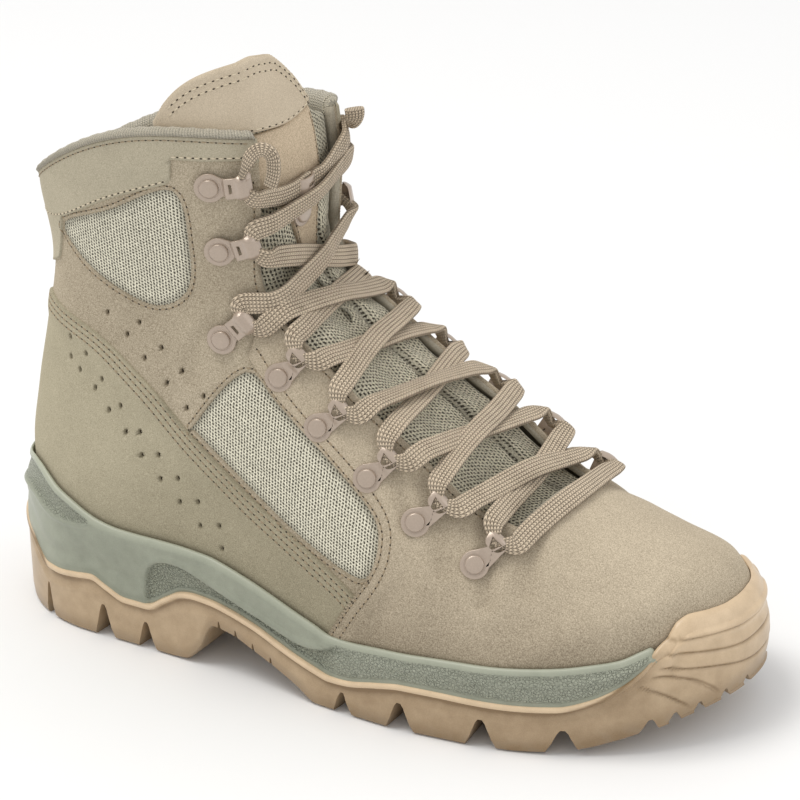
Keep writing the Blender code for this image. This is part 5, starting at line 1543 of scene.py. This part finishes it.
def tube(bm, rings):
    # skin over a row of rings, closed at both ends
    verts = skinRings(bm, rings)
    bm.faces.new(verts[0][::-1])
    bm.faces.new(verts[-1])


def relax(line, times):
    for _ in range(times):
        line[1:-1] = (line[2:] + 2 * line[1:-1] + line[:-2]) / 4


def collarRoute(t, count=200):
    # round the back of the collar from one side of the throat to the other
    half = float(table(lastFit["throat"], lastFit["collar"])) + 0.3
    ends = [half / float(fullLength(t, side)) for side in (-1, 1)]
    a = np.concatenate([np.linspace(-ends[0], -1, count // 2), np.linspace(1, ends[1], count // 2)[1:]])
    return sample(skin, np.full(len(a), t), a)


binding = {
    "from": 14.97, "towards": 15.1, "stations": 320, "girth": 26, "endRound": 2.2,
    # the roll's section: out from the collar and up
    "section": ((1.0, -1.6), (1.4, 1.6), (2.4, 2.1), (2.9, 2.8), (2.7, 3.6), (1.9, 4.3), (0.6, 4.7),
                (-0.8, 4.6), (-2.2, 4.0), (-3.3, 2.8), (-3.9, 1.2), (-4.0, -0.6), (-3.8, -2.4),
                (-3.2, -3.1)),
}


def makeBinding():
    path, outs = collarRoute(binding["from"])
    ups = unit(collarRoute(binding["towards"])[0] - path)
    run = arcsOf(path)
    even = np.linspace(0, run[-1], binding["stations"])
    path, outs, ups = (spread(even, run, g) for g in (path, outs, ups))
    for g in (path, outs, ups):
        relax(g, 4)
    outs, ups = unit(outs), unit(ups)
    end = np.minimum(even, even[-1] - even)
    taper = np.sqrt(np.clip(1 - (1 - np.clip(end / binding["endRound"], 0, 1)) ** 2, 0.05, 1))
    taper = taper * (1 + 0.03 * np.sin(even * 0.9) + 0.02 * np.sin(even * 2.3))
    section = binding["section"]
    bm = bmesh.new()
    tube(bm, [[p + out * (a * k) + up * (b * k) for a, b in section]
              for p, out, up, k in zip(path, outs, ups, taper)])
    bmesh.ops.recalc_face_normals(bm, faces=bm.faces)
    obj = finished("collar_knit", bm, knitRib, slot="knit", stands=("collar_binding",))
    girth = np.linspace(0, binding["girth"], len(section) + 1)[:-1]
    flatUv(obj, rowsOf(np.repeat(even, len(section)), np.tile(girth, len(even))))


def makeHeelStrip():
    half = 3.3
    low, high, crown = 10.2, 13.82, 13.86
    outline = np.array([(low, -half), (high, -half), (crown, 0.0), (high, half), (low, half)]) * (uScale, 1)
    patch("heel_tape", outline, backAt, stripCloth, 0.5, 0.5, slot="strip_cloth", stands=("heel_strip",),
          step=1.4)


makeTongueBody()
makeTonguePanels()
makeBinding()
makeHeelStrip()
print("tongue, binding and strip built")


hardware = {
    # section and arc of each rivet, section and arc of its tip
    "rows": ((4.62, 46.2, 4.54, 32.2), (5.61, 48.8, 5.49, 35.6), (6.37, 49.9, 6.26, 35.4),
             (7.31, 49.5, 7.22, 37.8), (8.46, 47.6, 8.49, 37.0), (10.43, 57.5, 10.48, 43.7),
             (12.81, 46.8, 12.73, 35.2), (14.20, 47.1, 14.22, 36.0)),
    "hooksFrom": 5, "lift": {-1: 3.4, 1: 6.4}, "gauge": 1.1, "above": 1.75,
    "keeper": {"arc": -5.0, "from": 12.6, "towards": 13.1, "above": 1.5},
    # a turned head as out from its radius and up: rounded shoulder, a fine groove round it
    "headEdge": ((-0.9, 0), (-0.45, -0.1), (-0.12, -0.35), (0, -0.7)),
    "headFoot": ((0.02, -0.22), (0.3, -0.25), (0.4, 0.08), (0.7, 0.1), (0.85, -0.3)),
}
# the plates, with x from the rivet to the tip: the disc as radius, first angle and points, half of the tab
# and its rounding, the eye, where the faces are cut so that they can bend, and the rivet's head
plates = {
    "loop": {"disc": (5.15, 62, 30), "tab": ((8.2, 3.3), (14.6, 4.9)), "tabRound": (2.5, 1.7), "steps": 6,
             "eye": ((7.9, 0.9), (12.2, 2.9), (12.2, -2.9), (7.9, -0.9)), "eyeRound": 0.6, "bevel": 0.3,
             "along": (5.2, 6.0, 6.8, 7.6, 8.4, 9.2, 10.0, 10.8, 12.6, 13.2, 13.8, 14.2),
             "across": (-3.4, -2.2, 0.0, 2.2, 3.4), "head": (3.55, 1.1)},
    "hook": {"disc": (5.4, 48, 30), "tab": ((5.6, 3.8), (10.6, 3.7), (12.6, 5.0), (16.0, 4.8)),
             "tabRound": (0.9, 1.2, 1.3, 2.6), "steps": 5,
             "eye": ((7.6, 2.3), (7.6, -2.3), (9.2, -1.8), (9.2, 1.8)), "eyeRound": 0.3, "bevel": 0.3,
             "along": (5.0, 5.6, 6.2, 6.8, 9.6, 10.4, 11.2, 12.0, 12.8, 13.6, 14.4, 15.2),
             "across": (-4.2, -3.3, -2.3, 0.0, 2.3, 3.3, 4.2), "head": (3.6, 1.1)},
    "keeper": {"disc": (5.0, 42, 24), "tab": ((6.0, 3.4), (9.2, 3.4), (9.6, 5.2), (15.4, 5.2)),
               "tabRound": (0.5, 0.8, 1.0, 1.4), "steps": 4,
               "eye": ((11.3, 1.0), (11.3, -3.2), (13.3, -3.2), (13.3, 1.0)), "eyeRound": 0.9, "bevel": 0.28,
               "along": (5.6, 6.8, 8.0, 9.2, 10.4, 12.2, 14.2),
               "across": (-4.4, -3.6, -2.4, 0.0, 2.4, 3.6, 4.4), "head": (3.7, 0.9)},
}


def squareTo(v, way):
    return unit(v - way * v.dot(way) / way.dot(way))


def onSkin(t, arc, side):
    share = side * arc / float(fullLength(t, side))
    p, n = sample(skin, np.array([t]), np.array([share]))
    return p[0] + n[0] * hardware["above"], n[0]


def hardwareFrame(number, side):
    row = hardware["rows"][number]
    here, normal = onSkin(*row[:2], side)
    tip, _ = onSkin(*row[2:], side)
    return here, normal, squareTo(tip - here, normal)


def keeperFrame():
    keeper = hardware["keeper"]
    places = np.array([(keeper[key] * uScale, keeper["arc"]) for key in ("from", "towards")])
    spots, normals = plainTongue(places)
    return spots[0] + normals[0] * keeper["above"], normals[0], squareTo(spots[1] - spots[0], normals[0])


def roundedLoop(points, radii, steps=4):
    out = []
    p = np.array(points, float)
    for i, r in enumerate(np.broadcast_to(radii, len(p))):
        a, b, c = p[i - 1], p[i], p[(i + 1) % len(p)]
        r = min(r, 0.45 * np.linalg.norm(a - b), 0.45 * np.linalg.norm(c - b))
        start = b + (a - b) / np.linalg.norm(a - b) * r
        end = b + (c - b) / np.linalg.norm(c - b) * r
        for k in np.linspace(0, 1, steps):
            out.append((1 - k) ** 2 * start + 2 * k * (1 - k) * b + k * k * end)
    return np.array(out)


def flatPlate(loops, bevel):
    # a sheet with rounded edges: the first loop is its outline, the others are holes
    curve = bpy.data.curves.new("plate", "CURVE")
    curve.dimensions = "2D"
    curve.fill_mode = "BOTH"
    curve.extrude = hardware["gauge"] / 2 - bevel
    curve.bevel_depth = bevel
    curve.bevel_resolution = 2
    for loop in loops:
        line = curve.splines.new("POLY")
        line.points.add(len(loop) - 1)
        for point, where in zip(line.points, loop):
            point.co = (where[0], where[1], 0, 1)
        line.use_cyclic_u = True
    guide = bpy.data.objects.new("plate", curve)
    bpy.context.scene.collection.objects.link(guide)
    mesh = bpy.data.meshes.new_from_object(guide.evaluated_get(bpy.context.evaluated_depsgraph_get()))
    bpy.data.objects.remove(guide)
    bpy.data.curves.remove(curve)
    bm = bmesh.new()
    bm.from_mesh(mesh)
    bpy.data.meshes.remove(mesh)
    bmesh.ops.remove_doubles(bm, verts=bm.verts, dist=0.01)
    return bm


def cutAcross(bm, stops, axis):
    for stop in stops:
        geom = bm.verts[:] + bm.edges[:] + bm.faces[:]
        bmesh.ops.bisect_plane(bm, geom=geom, plane_co=axis * stop, plane_no=axis, dist=0.02)


def addRivet(bm, radius, height):
    profile = [(0, height)] + [(radius + out, height + up) for out, up in hardware["headEdge"]]
    profile += [(radius + out, up) for out, up in hardware["headFoot"]]
    verts = [bm.verts.new((r, 0, hardware["gauge"] / 2 + z)) for r, z in profile]
    edges = [bm.edges.new((a, b)) for a, b in zip(verts, verts[1:])]
    bmesh.ops.spin(bm, geom=verts + edges, cent=(0, 0, 0), axis=(0, 0, 1), angle=2 * math.pi, steps=28,
                   use_merge=True)


def loopRise(x, y, lift):
    # the tip lifts off and holds the lace in a three-cornered eye
    return lift * ease(4.8, 10.6, x) - 1.5 * max(0.0, (x - 12.4) / 2) ** 2 - 0.05 * y * y * ease(7, 12, x)


def hookRise(x, y, _):
    rise = 2.4 * ease(5.0, 6.6, x) + 1.6 * ease(9.6, 12.2, x) - 3.0 * max(0.0, (x - 12.6) / 3.4) ** 2
    return rise - 0.5 * max(0.0, abs(y) - 2.6) ** 1.8 * ease(9.0, 12.6, x)


def keeperRise(x, y, _):
    half = 5.2
    return ease(5.6, 9.4, x) * (0.6 + 3.0 * (1 - (min(abs(y), half) / half) ** 3.2))


def platePiece(kind, rise, lift=0.0):
    plate = plates[kind]
    radius, first, count = plate["disc"]
    a = np.radians(np.linspace(first, 360 - first, count))
    disc = rowsOf(radius * np.cos(a), radius * np.sin(a))
    mirrored = [(x, -y) for x, y in plate["tab"]] + list(plate["tab"][::-1])
    tab = roundedLoop(mirrored, plate["tabRound"] + plate["tabRound"][::-1], plate["steps"])
    eye = roundedLoop(plate["eye"], plate["eyeRound"])
    bm = flatPlate((np.concatenate([disc, tab]), eye), plate["bevel"])
    cutAcross(bm, plate["along"], Vector((1, 0, 0)))
    cutAcross(bm, plate["across"], Vector((0, 1, 0)))
    for v in bm.verts:
        v.co.z += float(rise(v.co.x, v.co.y, lift))
    addRivet(bm, *plate["head"])
    return bm


def placeHardware(name, bm, spot, normal, ahead, ring):
    sideways = np.cross(normal, ahead)
    middle = spot + normal * hardware["gauge"] / 2
    for v in bm.verts:
        v.co = toFrame(middle + ahead * v.co.x + sideways * v.co.y + normal * v.co.z)
    bmesh.ops.recalc_face_normals(bm, faces=bm.faces)
    finished(name, bm, satinPaint, slot="painted_metal", stands=(ring,), smoothAngle=35)


def makeHardware():
    for side in (-1, 1):
        for number in range(len(hardware["rows"])):
            kind, rise = ("hook", hookRise) if number >= hardware["hooksFrom"] else ("loop", loopRise)
            label = "%s_%d" % (sideNames[side], number + 1)
            placeHardware("lace_%s_%s" % (kind, label), platePiece(kind, rise, hardware["lift"][side]),
                          *hardwareFrame(number, side), "lace_ring_" + label)
    placeHardware("tongue_keeper", platePiece("keeper", keeperRise), *keeperFrame(), "tongue_ring")


makeHardware()
print("hardware built")


lace = {
    "width": 8.6, "thick": 2.3, "step": 1.1, "clear": 0.4, "apart": 4.8,
    "bridge": 12.3, "under": 2.0, "tipWide": 5.3, "looseWide": 7.4,
    # the free ends, and the side each shows
    "lateral": ((115, -34, 207), (117.5, -34, 212), (120.5, -33.5, 217), (124.5, -32.5, 219),
                (127.5, -31.5, 216), (127, -31, 210), (125, -31, 204)),
    "lateralUp": (0.25, -0.9, 0.2),
    "medial": ((124, 30.5, 206.4), (126.8, 28, 207.8), (129, 25.5, 210.5), (130, 23.5, 213),
               (130.5, 22.5, 216)),
    "medialUp": (0.44, -0.79, 0.44),
}


def restTree():
    # what the laces lie on: the leather beside the throat and the tongue in it
    ts, vs = skin["ts"], skin["vs"]
    half = table(lastFit["throat"], ts)
    full = {side: fullLength(ts, side) for side in (-1, 1)}

    def leather(i, j):
        side = -1 if vs[j] < 0 else 1
        beside = ts[i] <= lastFit["collar"] and abs(vs[j]) * full[side][i] > half[i] - 0.5
        return ts[i] < lastFit["throatStart"] or beside

    rows = []
    for t in np.linspace(4.0, 15.5, 116):
        halves = [float(table(tongueShape["rows"], t, k)) for k in (1, 2)]
        arcs = np.linspace(-halves[0], halves[1], 41)
        p, n = plainTongue(rowsOf(t * uScale, arcs))
        rows.append(p + n * (1.3 if t > 10.6 else 0.3))
    return gridTree((skin["grid"] + skin["normals"] * 1.7, leather), (np.array(rows), lambda i, j: True))


rests = restTree()


def laceEnd(number, side, which):
    # where a strand starts in a loop or hook: inside it, at its mouth, clear of it, and the normal there
    spot, normal, ahead = hardwareFrame(number, side)
    across = np.cross(normal, ahead)
    if across.dot((-1, 0, 1)) < 0:
        across = -across
    hook = number >= hardware["hooksFrom"]
    reach = 13.6 if hook else 13.4
    height = 1.4 if hook else 2.2 if side < 0 else 4.0
    aside = across * (lace["apart"] * which)
    steps = ((-2.6, -0.5, 0.0), (0.4, 0.0, 0.75), (2.6, 0.0, 1.25))
    spots = [spot + ahead * (reach + on) + normal * (height + up) + aside * out for on, up, out in steps]
    return *spots, normal


def turnsUp(a, b, c):
    return (b[0] - a[0]) * (c[1] - a[1]) - (b[1] - a[1]) * (c[0] - a[0]) >= 0


def tightHull(start, way, up, props):
    # the line a taut strand takes over what it rests on, as shares of the way and heights
    sideways = unit(np.cross(way, up))
    stops = [(0.0, 0.0), (1.0, 0.0)] + list(props)
    above = 30
    for share in np.linspace(0.04, 0.96, 50):
        for shift in (-0.8, 0, 0.8):
            p = start + way * share + sideways * (shift * lace["width"] / 2)
            hit, _, _, far = rests.ray_cast(Vector(p + up * above), Vector(-up), 2 * above)
            if hit is not None:
                stops.append((share, above - far + lace["thick"] / 2 + lace["clear"]))
    hull = []
    for stop in sorted(stops):
        while len(hull) > 1 and turnsUp(hull[-2], hull[-1], stop):
            hull.pop()
        hull.append(stop)
    return np.array(hull).T


def wayOf(first, last):
    # start, way and upward direction of the strand between two ends
    way = last[2] - first[2]
    return first[2], way, squareTo(first[3] + last[3], way)


def strandPath(first, last, props=()):
    start, way, up = wayOf(first, last)
    hull = tightHull(start, way, up, props)
    shares = np.linspace(0.1, 0.9, 9)[:, None]
    middle = start + way * shares + up * np.interp(shares, *hull)
    points = np.array([*first[:3], *middle, *last[2::-1]])
    ups = np.array([first[3]] * 3 + [up] * 9 + [last[3]] * 3)
    return points, ups, hull


def laceRings(points, ups, pinchEnds=(True, True), width=lace["width"], seed=0):
    fine = spline(points, 10)
    fineUp = spread(np.linspace(0, len(points) - 1, len(fine)), np.arange(len(points)), ups)
    run = arcsOf(fine)
    even = np.linspace(0, run[-1], max(8, int(run[-1] / lace["step"])))
    path, up = spread(even, run, fine), spread(even, run, fineUp)
    relax(path, 3)
    tangent = unit(np.gradient(path, axis=0))
    up = unit(up - tangent * (up * tangent).sum(axis=1, keepdims=True))
    side = np.cross(tangent, up)
    halfWidth = np.full(len(even), width / 2)
    if pinchEnds[0]:
        halfWidth *= 0.45 + 0.55 * ease(0, 10, even)
    if pinchEnds[1]:
        halfWidth *= 0.42 + 0.58 * ease(1, 15, even[-1] - even)
    # a slight sway and roll, different for each strand
    draws = np.random.default_rng(100 + seed)
    arch = even / even[-1] * math.pi
    sway, turns = draws.uniform(0.5, 1.1), draws.uniform(1.7, 2.3)
    path = path + side * (sway * np.sin(arch * turns + draws.uniform(0, 6)) * np.sin(arch))[:, None]
    roll = 0.22 * np.sin(even / 17 + draws.uniform(0, 6))[:, None]
    rolledSide = side * np.cos(roll) + up * np.sin(roll)
    rolledUp = up * np.cos(roll) - side * np.sin(roll)
    angles = np.linspace(0, 2 * math.pi, 19)[:-1, None]
    across = np.sign(np.cos(angles)) * np.abs(np.cos(angles)) ** 0.8
    over = np.sign(np.sin(angles)) * np.abs(np.sin(angles)) ** 0.72
    # thicker where the lace is gathered
    thick = lace["thick"] / 2 * (1 + 0.7 * (1 - halfWidth / (width / 2)))
    rings = [path[i] + rolledSide[i] * across * halfWidth[i] + rolledUp[i] * over * thick[i]
             for i in range(len(even))]
    return rings, [(at, 4.1 * a + 4.1) for at in even for a in across[:, 0]]


class LaceBuilder:
    def __init__(self):
        self.bm = bmesh.new()
        self.uv = []

    def strand(self, points, ups, **extra):
        rings, uv = laceRings(np.array(points, float), np.array(ups, float), **extra)
        tube(self.bm, rings)
        self.uv += uv

    def finish(self, name, *stands):
        bmesh.ops.recalc_face_normals(self.bm, faces=self.bm.faces)
        obj = finished(name, self.bm, laceBraid, slot="lace_cord", stands=stands, smoothAngle=60)
        flatUv(obj, self.uv)
        return obj


def crossingShares(a, r, c, s):
    # shares along a + r and c + s where the two lines pass closest
    w = a - c
    m = np.array([[r.dot(r), -r.dot(s)], [r.dot(s), -s.dot(s)]])
    return np.linalg.solve(m, [-w.dot(r), -w.dot(s)])


def makeLaces():
    builder = LaceBuilder()
    # the straight bar at the toe's end
    builder.strand(*strandPath(laceEnd(0, -1, -1), laceEnd(0, 1, -1))[:2], seed=1)
    keeper, keeperUp, keeperAhead = keeperFrame()
    low = keeper + keeperUp * lace["under"]
    mid = low + keeperAhead * lace["bridge"]
    right = np.cross(keeperAhead, keeperUp)
    right = right * np.sign(right[1])
    crossings = 7
    for k in range(crossings):
        last = k == crossings - 1
        rising = (laceEnd(k, -1, 1), laceEnd(k + 1, 1, -1))
        props = []
        if last:
            # from under the keeper's bridge to the last hook, and over the keeper's rivet
            falling = ((mid - right * 2, mid + right * 3, mid + right * 6.5, keeperUp), laceEnd(k + 1, 1, 1))
            start, way, up = wayOf(*rising)
            for along in (1.0, 5.0):
                q = low + keeperAhead * along - start
                props.append((q.dot(way) / way.dot(way), q.dot(up) + 1.2))
        else:
            falling = (laceEnd(k + 1, -1, -1), laceEnd(k, 1, 1))
        risingOver = k % 2 == 1 or last
        under, over = (falling, rising) if risingOver else (rising, falling)
        points, ups, hull = strandPath(*under, () if risingOver else props)
        builder.strand(points, ups, seed=10 + k)
        startUnder, wayUnder, upUnder = wayOf(*under)
        start, way, up = wayOf(*over)
        shareOver, shareUnder = crossingShares(start, way, startUnder, wayUnder)
        spotUnder = startUnder + wayUnder * shareUnder + upUnder * float(np.interp(shareUnder, *hull))
        height = (spotUnder - start).dot(up) + lace["thick"] + 0.35
        wide = 3.6 / np.linalg.norm(way)
        hump = [(shareOver - wide, height), (shareOver, height + 0.1), (shareOver + wide, height)]
        builder.strand(*strandPath(*over, (props if risingOver else []) + hump)[:2], seed=30 + k)
    # from under the top hook across to the keeper
    first = laceEnd(len(hardware["rows"]) - 1, -1, -1)
    halfway = (first[2] + mid - right * 6) / 2 + first[3] * 0.5
    points = [*first[:3], halfway, mid - right * 6, mid - right * 3, mid + right * 3]
    ups = [first[3]] * 3 + [unit(first[3] + keeperUp)] + [keeperUp] * 3
    builder.strand(points, ups, pinchEnds=(True, False), seed=51)
    crossed = ["lace_crossing_%d" % (k + 1) for k in range(crossings)]
    builder.finish("lace_laced", "lace_bar", "lace_top", *crossed)


def makeLaceEnd(side, width, seed):
    builder = LaceBuilder()
    line = lace[side]
    builder.strand(line, [lace[side + "Up"]] * len(line), pinchEnds=(True, False), width=width, seed=seed)
    return builder.finish("lace_tail_" + side, "lace_end_" + side)


def makeLaceEnds():
    obj = makeLaceEnd("lateral", lace["tipWide"], 71)
    path = spline(lace["lateral"], 6)
    makeLaceEnd("medial", lace["looseWide"], 73)


makeLaces()
makeLaceEnds()
print("laces built")


thread = {
    "long": 1.9, "gap": 1.0, "width": 0.62, "reach": 7.0,
    "windowRow": -1.9, "vampRows": (1.7, 4.9), "quarterRows": (1.7, 4.2, 6.8), "cuffRow": 1.4,
    # the stitched part of the cuff's lower edge, as x and z, starts near the back
    "cuffBack": ((10, 171.5), (20, 172)),
    # rows on the tongue, as section and arc
    "right": ((15.25, 6.4), (14.6, 7.9), (13.6, 9.3), (12.5, 9.2), (11.5, 7.5), (10.95, 5.2)),
    "left": ((10.95, -3.6), (11.4, -7.5), (12.4, -11.4), (13.3, -19.2), (14.0, -30)),
}


def dashOnce():
    # one long rounded dash, poles along x
    bm = bmesh.new()
    bmesh.ops.create_uvsphere(bm, u_segments=6, v_segments=5, radius=1.0)
    bmesh.ops.rotate(bm, verts=bm.verts, cent=(0, 0, 0), matrix=Matrix.Rotation(math.pi / 2, 3, "Y"))
    shape = np.array([v.co for v in bm.verts]), [[v.index for v in f.verts] for f in bm.faces]
    bm.free()
    return shape


dashSpots, dashFaces = dashOnce()


class Sewing:
    # rows of thread dashes and needle holes laid on finished panels
    def __init__(self, *targets):
        points, faces = [], []
        for name in targets:
            mesh = bpy.data.objects[name].data
            first = len(points)
            points += [Vector(p) for p in cornersOf(mesh)]
            faces += [[first + i for i in f.vertices] for f in mesh.polygons]
        self.tree = BVHTree.FromPolygons(points, faces)
        self.dashes = {}

    def settled(self, p, n):
        # where a point of the row comes to lie on the panels, with the normal there
        reach = thread["reach"]
        out = Vector(n)
        hit, normal, _, _ = self.tree.ray_cast(Vector(p - origin + n * reach), -out, reach * 2)
        return None if hit is None else (hit, normal if normal.dot(out) > 0 else -normal)

    def row(self, line, surface, material, seed, long=thread["long"], width=thread["width"]):
        p, n = surface(resample(line, 0.8, closed=False))
        draws = np.random.default_rng(seed)
        run = arcsOf(p)
        gap = thread["gap"]
        at = draws.uniform(0.2, 1.0)
        while at + long < run[-1]:
            stops = np.array([at, at + long / 2, at + long, at + long + gap / 2])
            spots = [self.settled(*pair) for pair in zip(spread(stops, run, p), unit(spread(stops, run, n)))]
            at += long + gap * draws.uniform(0.9, 1.12)
            if None in spots:
                continue
            ahead = spots[2][0] - spots[0][0]
            if long * 0.5 <= ahead.length <= long * 1.6:
                self.capsule(material, *spots[1], ahead, (ahead.length / 2 * 0.98, width / 2, 0.3), 0.05)
                # a dark dash over each needle hole: painted shade
                self.capsule(holeShade, *spots[3], ahead, (gap * 0.52, width * 0.5, 0.1), 0.02)

    def capsule(self, material, spot, normal, ahead, halves, lift):
        x = ahead.normalized()
        z = (normal - x * normal.dot(x)).normalized()
        turn = np.array([x, z.cross(x), z]) * np.array(halves)[:, None]
        self.dashes.setdefault(material.name, []).append(dashSpots @ turn + np.array(spot + z * lift))

    def dot(self, uv):
        # a dark oval over each punched hole: painted shade
        p, n = upperAt(np.array([uv]))
        found = self.settled(p[0], n[0])
        if found is not None:
            normal = Vector(n[0])
            up = Vector((0, 0, 1)) - normal * normal.z
            radius = panels["holeRadius"]
            self.capsule(holeShade, found[0], normal, up, (radius * 1.15, radius * 0.85, 0.12), 0.25)

    def finish(self, prefix):
        for name, dashes in self.dashes.items():
            count = len(dashSpots)
            faces = [[k * count + i for i in f] for k in range(len(dashes)) for f in dashFaces]
            bm = fromFaces(np.concatenate(dashes) + origin, faces)
            finished(prefix + "_" + name, bm, bpy.data.materials[name], slot="lace_cord")


def openOffset(line, distance):
    # a line moved sideways: positive to the left of its direction as seen from outside
    p, n = upperAt(line)
    left = np.cross(n, unit(np.gradient(p, axis=0))) * distance
    return line + np.array([domainStep(*three) for three in zip(*slopesOf(upperAt, line), left)])


def collarRow(side, level=14.98, count=60):
    half = (float(table(lastFit["throat"], level)) + 3) / float(fullLength(level, side))
    return rowsOf(level * uScale, side * np.linspace(half, 0.995, count) * vScale)


def sewSide(side):
    name = sideNames[side]
    sewing = Sewing("vamp", "ankle_panel_" + name, "quarter_panel_" + name, "cuff")
    first = 200 if side < 0 else 300

    def row(seed, line, material=brownThread, **extra):
        sewing.row(line, upperAt, material, first + seed, **extra)

    for seed, window in enumerate(("collarWindow", "sideWindow")):
        loop = windowLine(window, side)
        loop = loop + inwardSteps(loop, upperAt)[0] * thread["windowRow"]
        row(seed, np.concatenate([loop, loop[:1]]))
    near, far = thread["vampRows"]
    row(12, openOffset(domainLine(panels["vampEdge"][1:4], side, 5), side * near))
    row(15, openOffset(domainLine(panels["vampEdge"][1:9], side, 5), side * far))
    for shift in thread["quarterRows"]:
        row(21 + int(shift), besideLine(panels["quarterSeam"], shift, side))
    cuffLow = domainLine(thread["cuffBack"] + panels["cuffEdge"], side)
    row(31, openOffset(cuffLow, -side * thread["cuffRow"]), paleThread)
    row(33, openOffset(toDomain(panels["cuffStep"], side), -side * thread["cuffRow"]), paleThread)
    row(41, throatLine(4.75, 14.2, side, 120, 2.6))
    row(51, collarRow(side), width=0.5)
    for kind in ("ankleHoles", "quarterHoles"):
        for spot in panels[kind]:
            sewing.dot(toDomain([spot], side)[0])
    sewing.finish("stitches_" + name)


def sewTongue():
    sewing = Sewing("tongue_strip", "tongue_band")
    for seed, drop in ((401, 0.1), (402, 0.2)):
        top = [(float(table(tongueShape["top"], a)) - drop, a) for a in np.linspace(-60, 6.8, 24)]
        sewing.row(tongueLine(top, 8), plainTongue, paleThread, seed)
    sewing.row(tongueLine(tongueShape["hem"], 8, 0.055), plainTongue, paleThread, 405, long=2.2)
    sewing.row(tongueLine(thread["right"], 8), plainTongue, brownThread, 407)
    sewing.row(tongueLine(thread["left"], 8), plainTongue, brownThread, 409)
    sewing.finish("stitches_tongue")


for side in (-1, 1):
    sewSide(side)
sewTongue()
print("stitching done")


stage = {
    "floor": (0.86, 0.86, 0.86, 1), "size": 6.0, "sky": 0.8, "middle": Vector((0.0, 0.0, 0.1)),
    # each light: how far across, above and behind the camera's plane, size, power, colour
    "lights": {"key": (-0.7, 1.5, 0.8, 0.9, 17, (1.0, 0.985, 0.955)),
               "fill": (1.5, 0.6, 0.6, 1.4, 5, (0.97, 0.985, 1.0))},
}
view = {
    "turn": 29.0, "height": 26.0, "roll": -1.5, "far": 1.3, "lens": 155.43, "sensor": 36,
    "target": Vector((0.014, -0.007, 0.1114)),
}


def makeStage():
    bm = bmesh.new()
    bmesh.ops.create_grid(bm, x_segments=1, y_segments=1, size=stage["size"])
    floor = bareObject("floor", bm)
    finish = Finish("floorPaint", 0.7, Specular_IOR_Level=0.2)
    finish.inputs["Base Color"].default_value = stage["floor"]
    floor.data.materials.append(finish.material)
    bpy.context.scene.collection.objects.link(floor)
    world = bpy.context.scene.world or bpy.data.worlds.new("world")
    bpy.context.scene.world = world
    world.use_nodes = True
    background = world.node_tree.nodes["Background"]
    background.inputs["Color"].default_value = (1.0, 1.0, 1.0, 1)
    background.inputs["Strength"].default_value = stage["sky"]
    bpy.context.scene.view_settings.view_transform = "Standard"


def areaLight(name, place, size, power, colour):
    data = bpy.data.lights.new(name, "AREA")
    data.energy = power
    data.size = size
    data.color = colour
    light = bpy.data.objects.new(name, data)
    bpy.context.scene.collection.objects.link(light)
    light.location = place
    light.rotation_euler = (stage["middle"] - place).to_track_quat("-Z", "Y").to_euler()


def makeCamera():
    a, e, r = (math.radians(view[key]) for key in ("turn", "height", "roll"))
    back = Vector((math.sin(a) * math.cos(e), -math.cos(a) * math.cos(e), math.sin(e)))
    right = Vector((math.cos(a), math.sin(a), 0))
    up = back.cross(right)
    across = right * math.cos(r) + up * math.sin(r)
    above = up * math.cos(r) - right * math.sin(r)
    data = bpy.data.cameras.new("camera")
    data.lens = view["lens"]
    data.sensor_width = view["sensor"]
    data.clip_start = 0.05
    data.clip_end = 50
    camera = bpy.data.objects.new("camera", data)
    bpy.context.scene.collection.objects.link(camera)
    turned = Matrix((across, above, back)).transposed().to_4x4()
    camera.matrix_world = Matrix.Translation(view["target"] + back * view["far"]) @ turned
    bpy.context.scene.camera = camera
    return across, above, back


makeStage()
across, above, back = makeCamera()
for name, (aside, up, behind, *light) in stage["lights"].items():
    areaLight(name, stage["middle"] + above * up + across * aside + back * behind, *light)
print("stage ready")
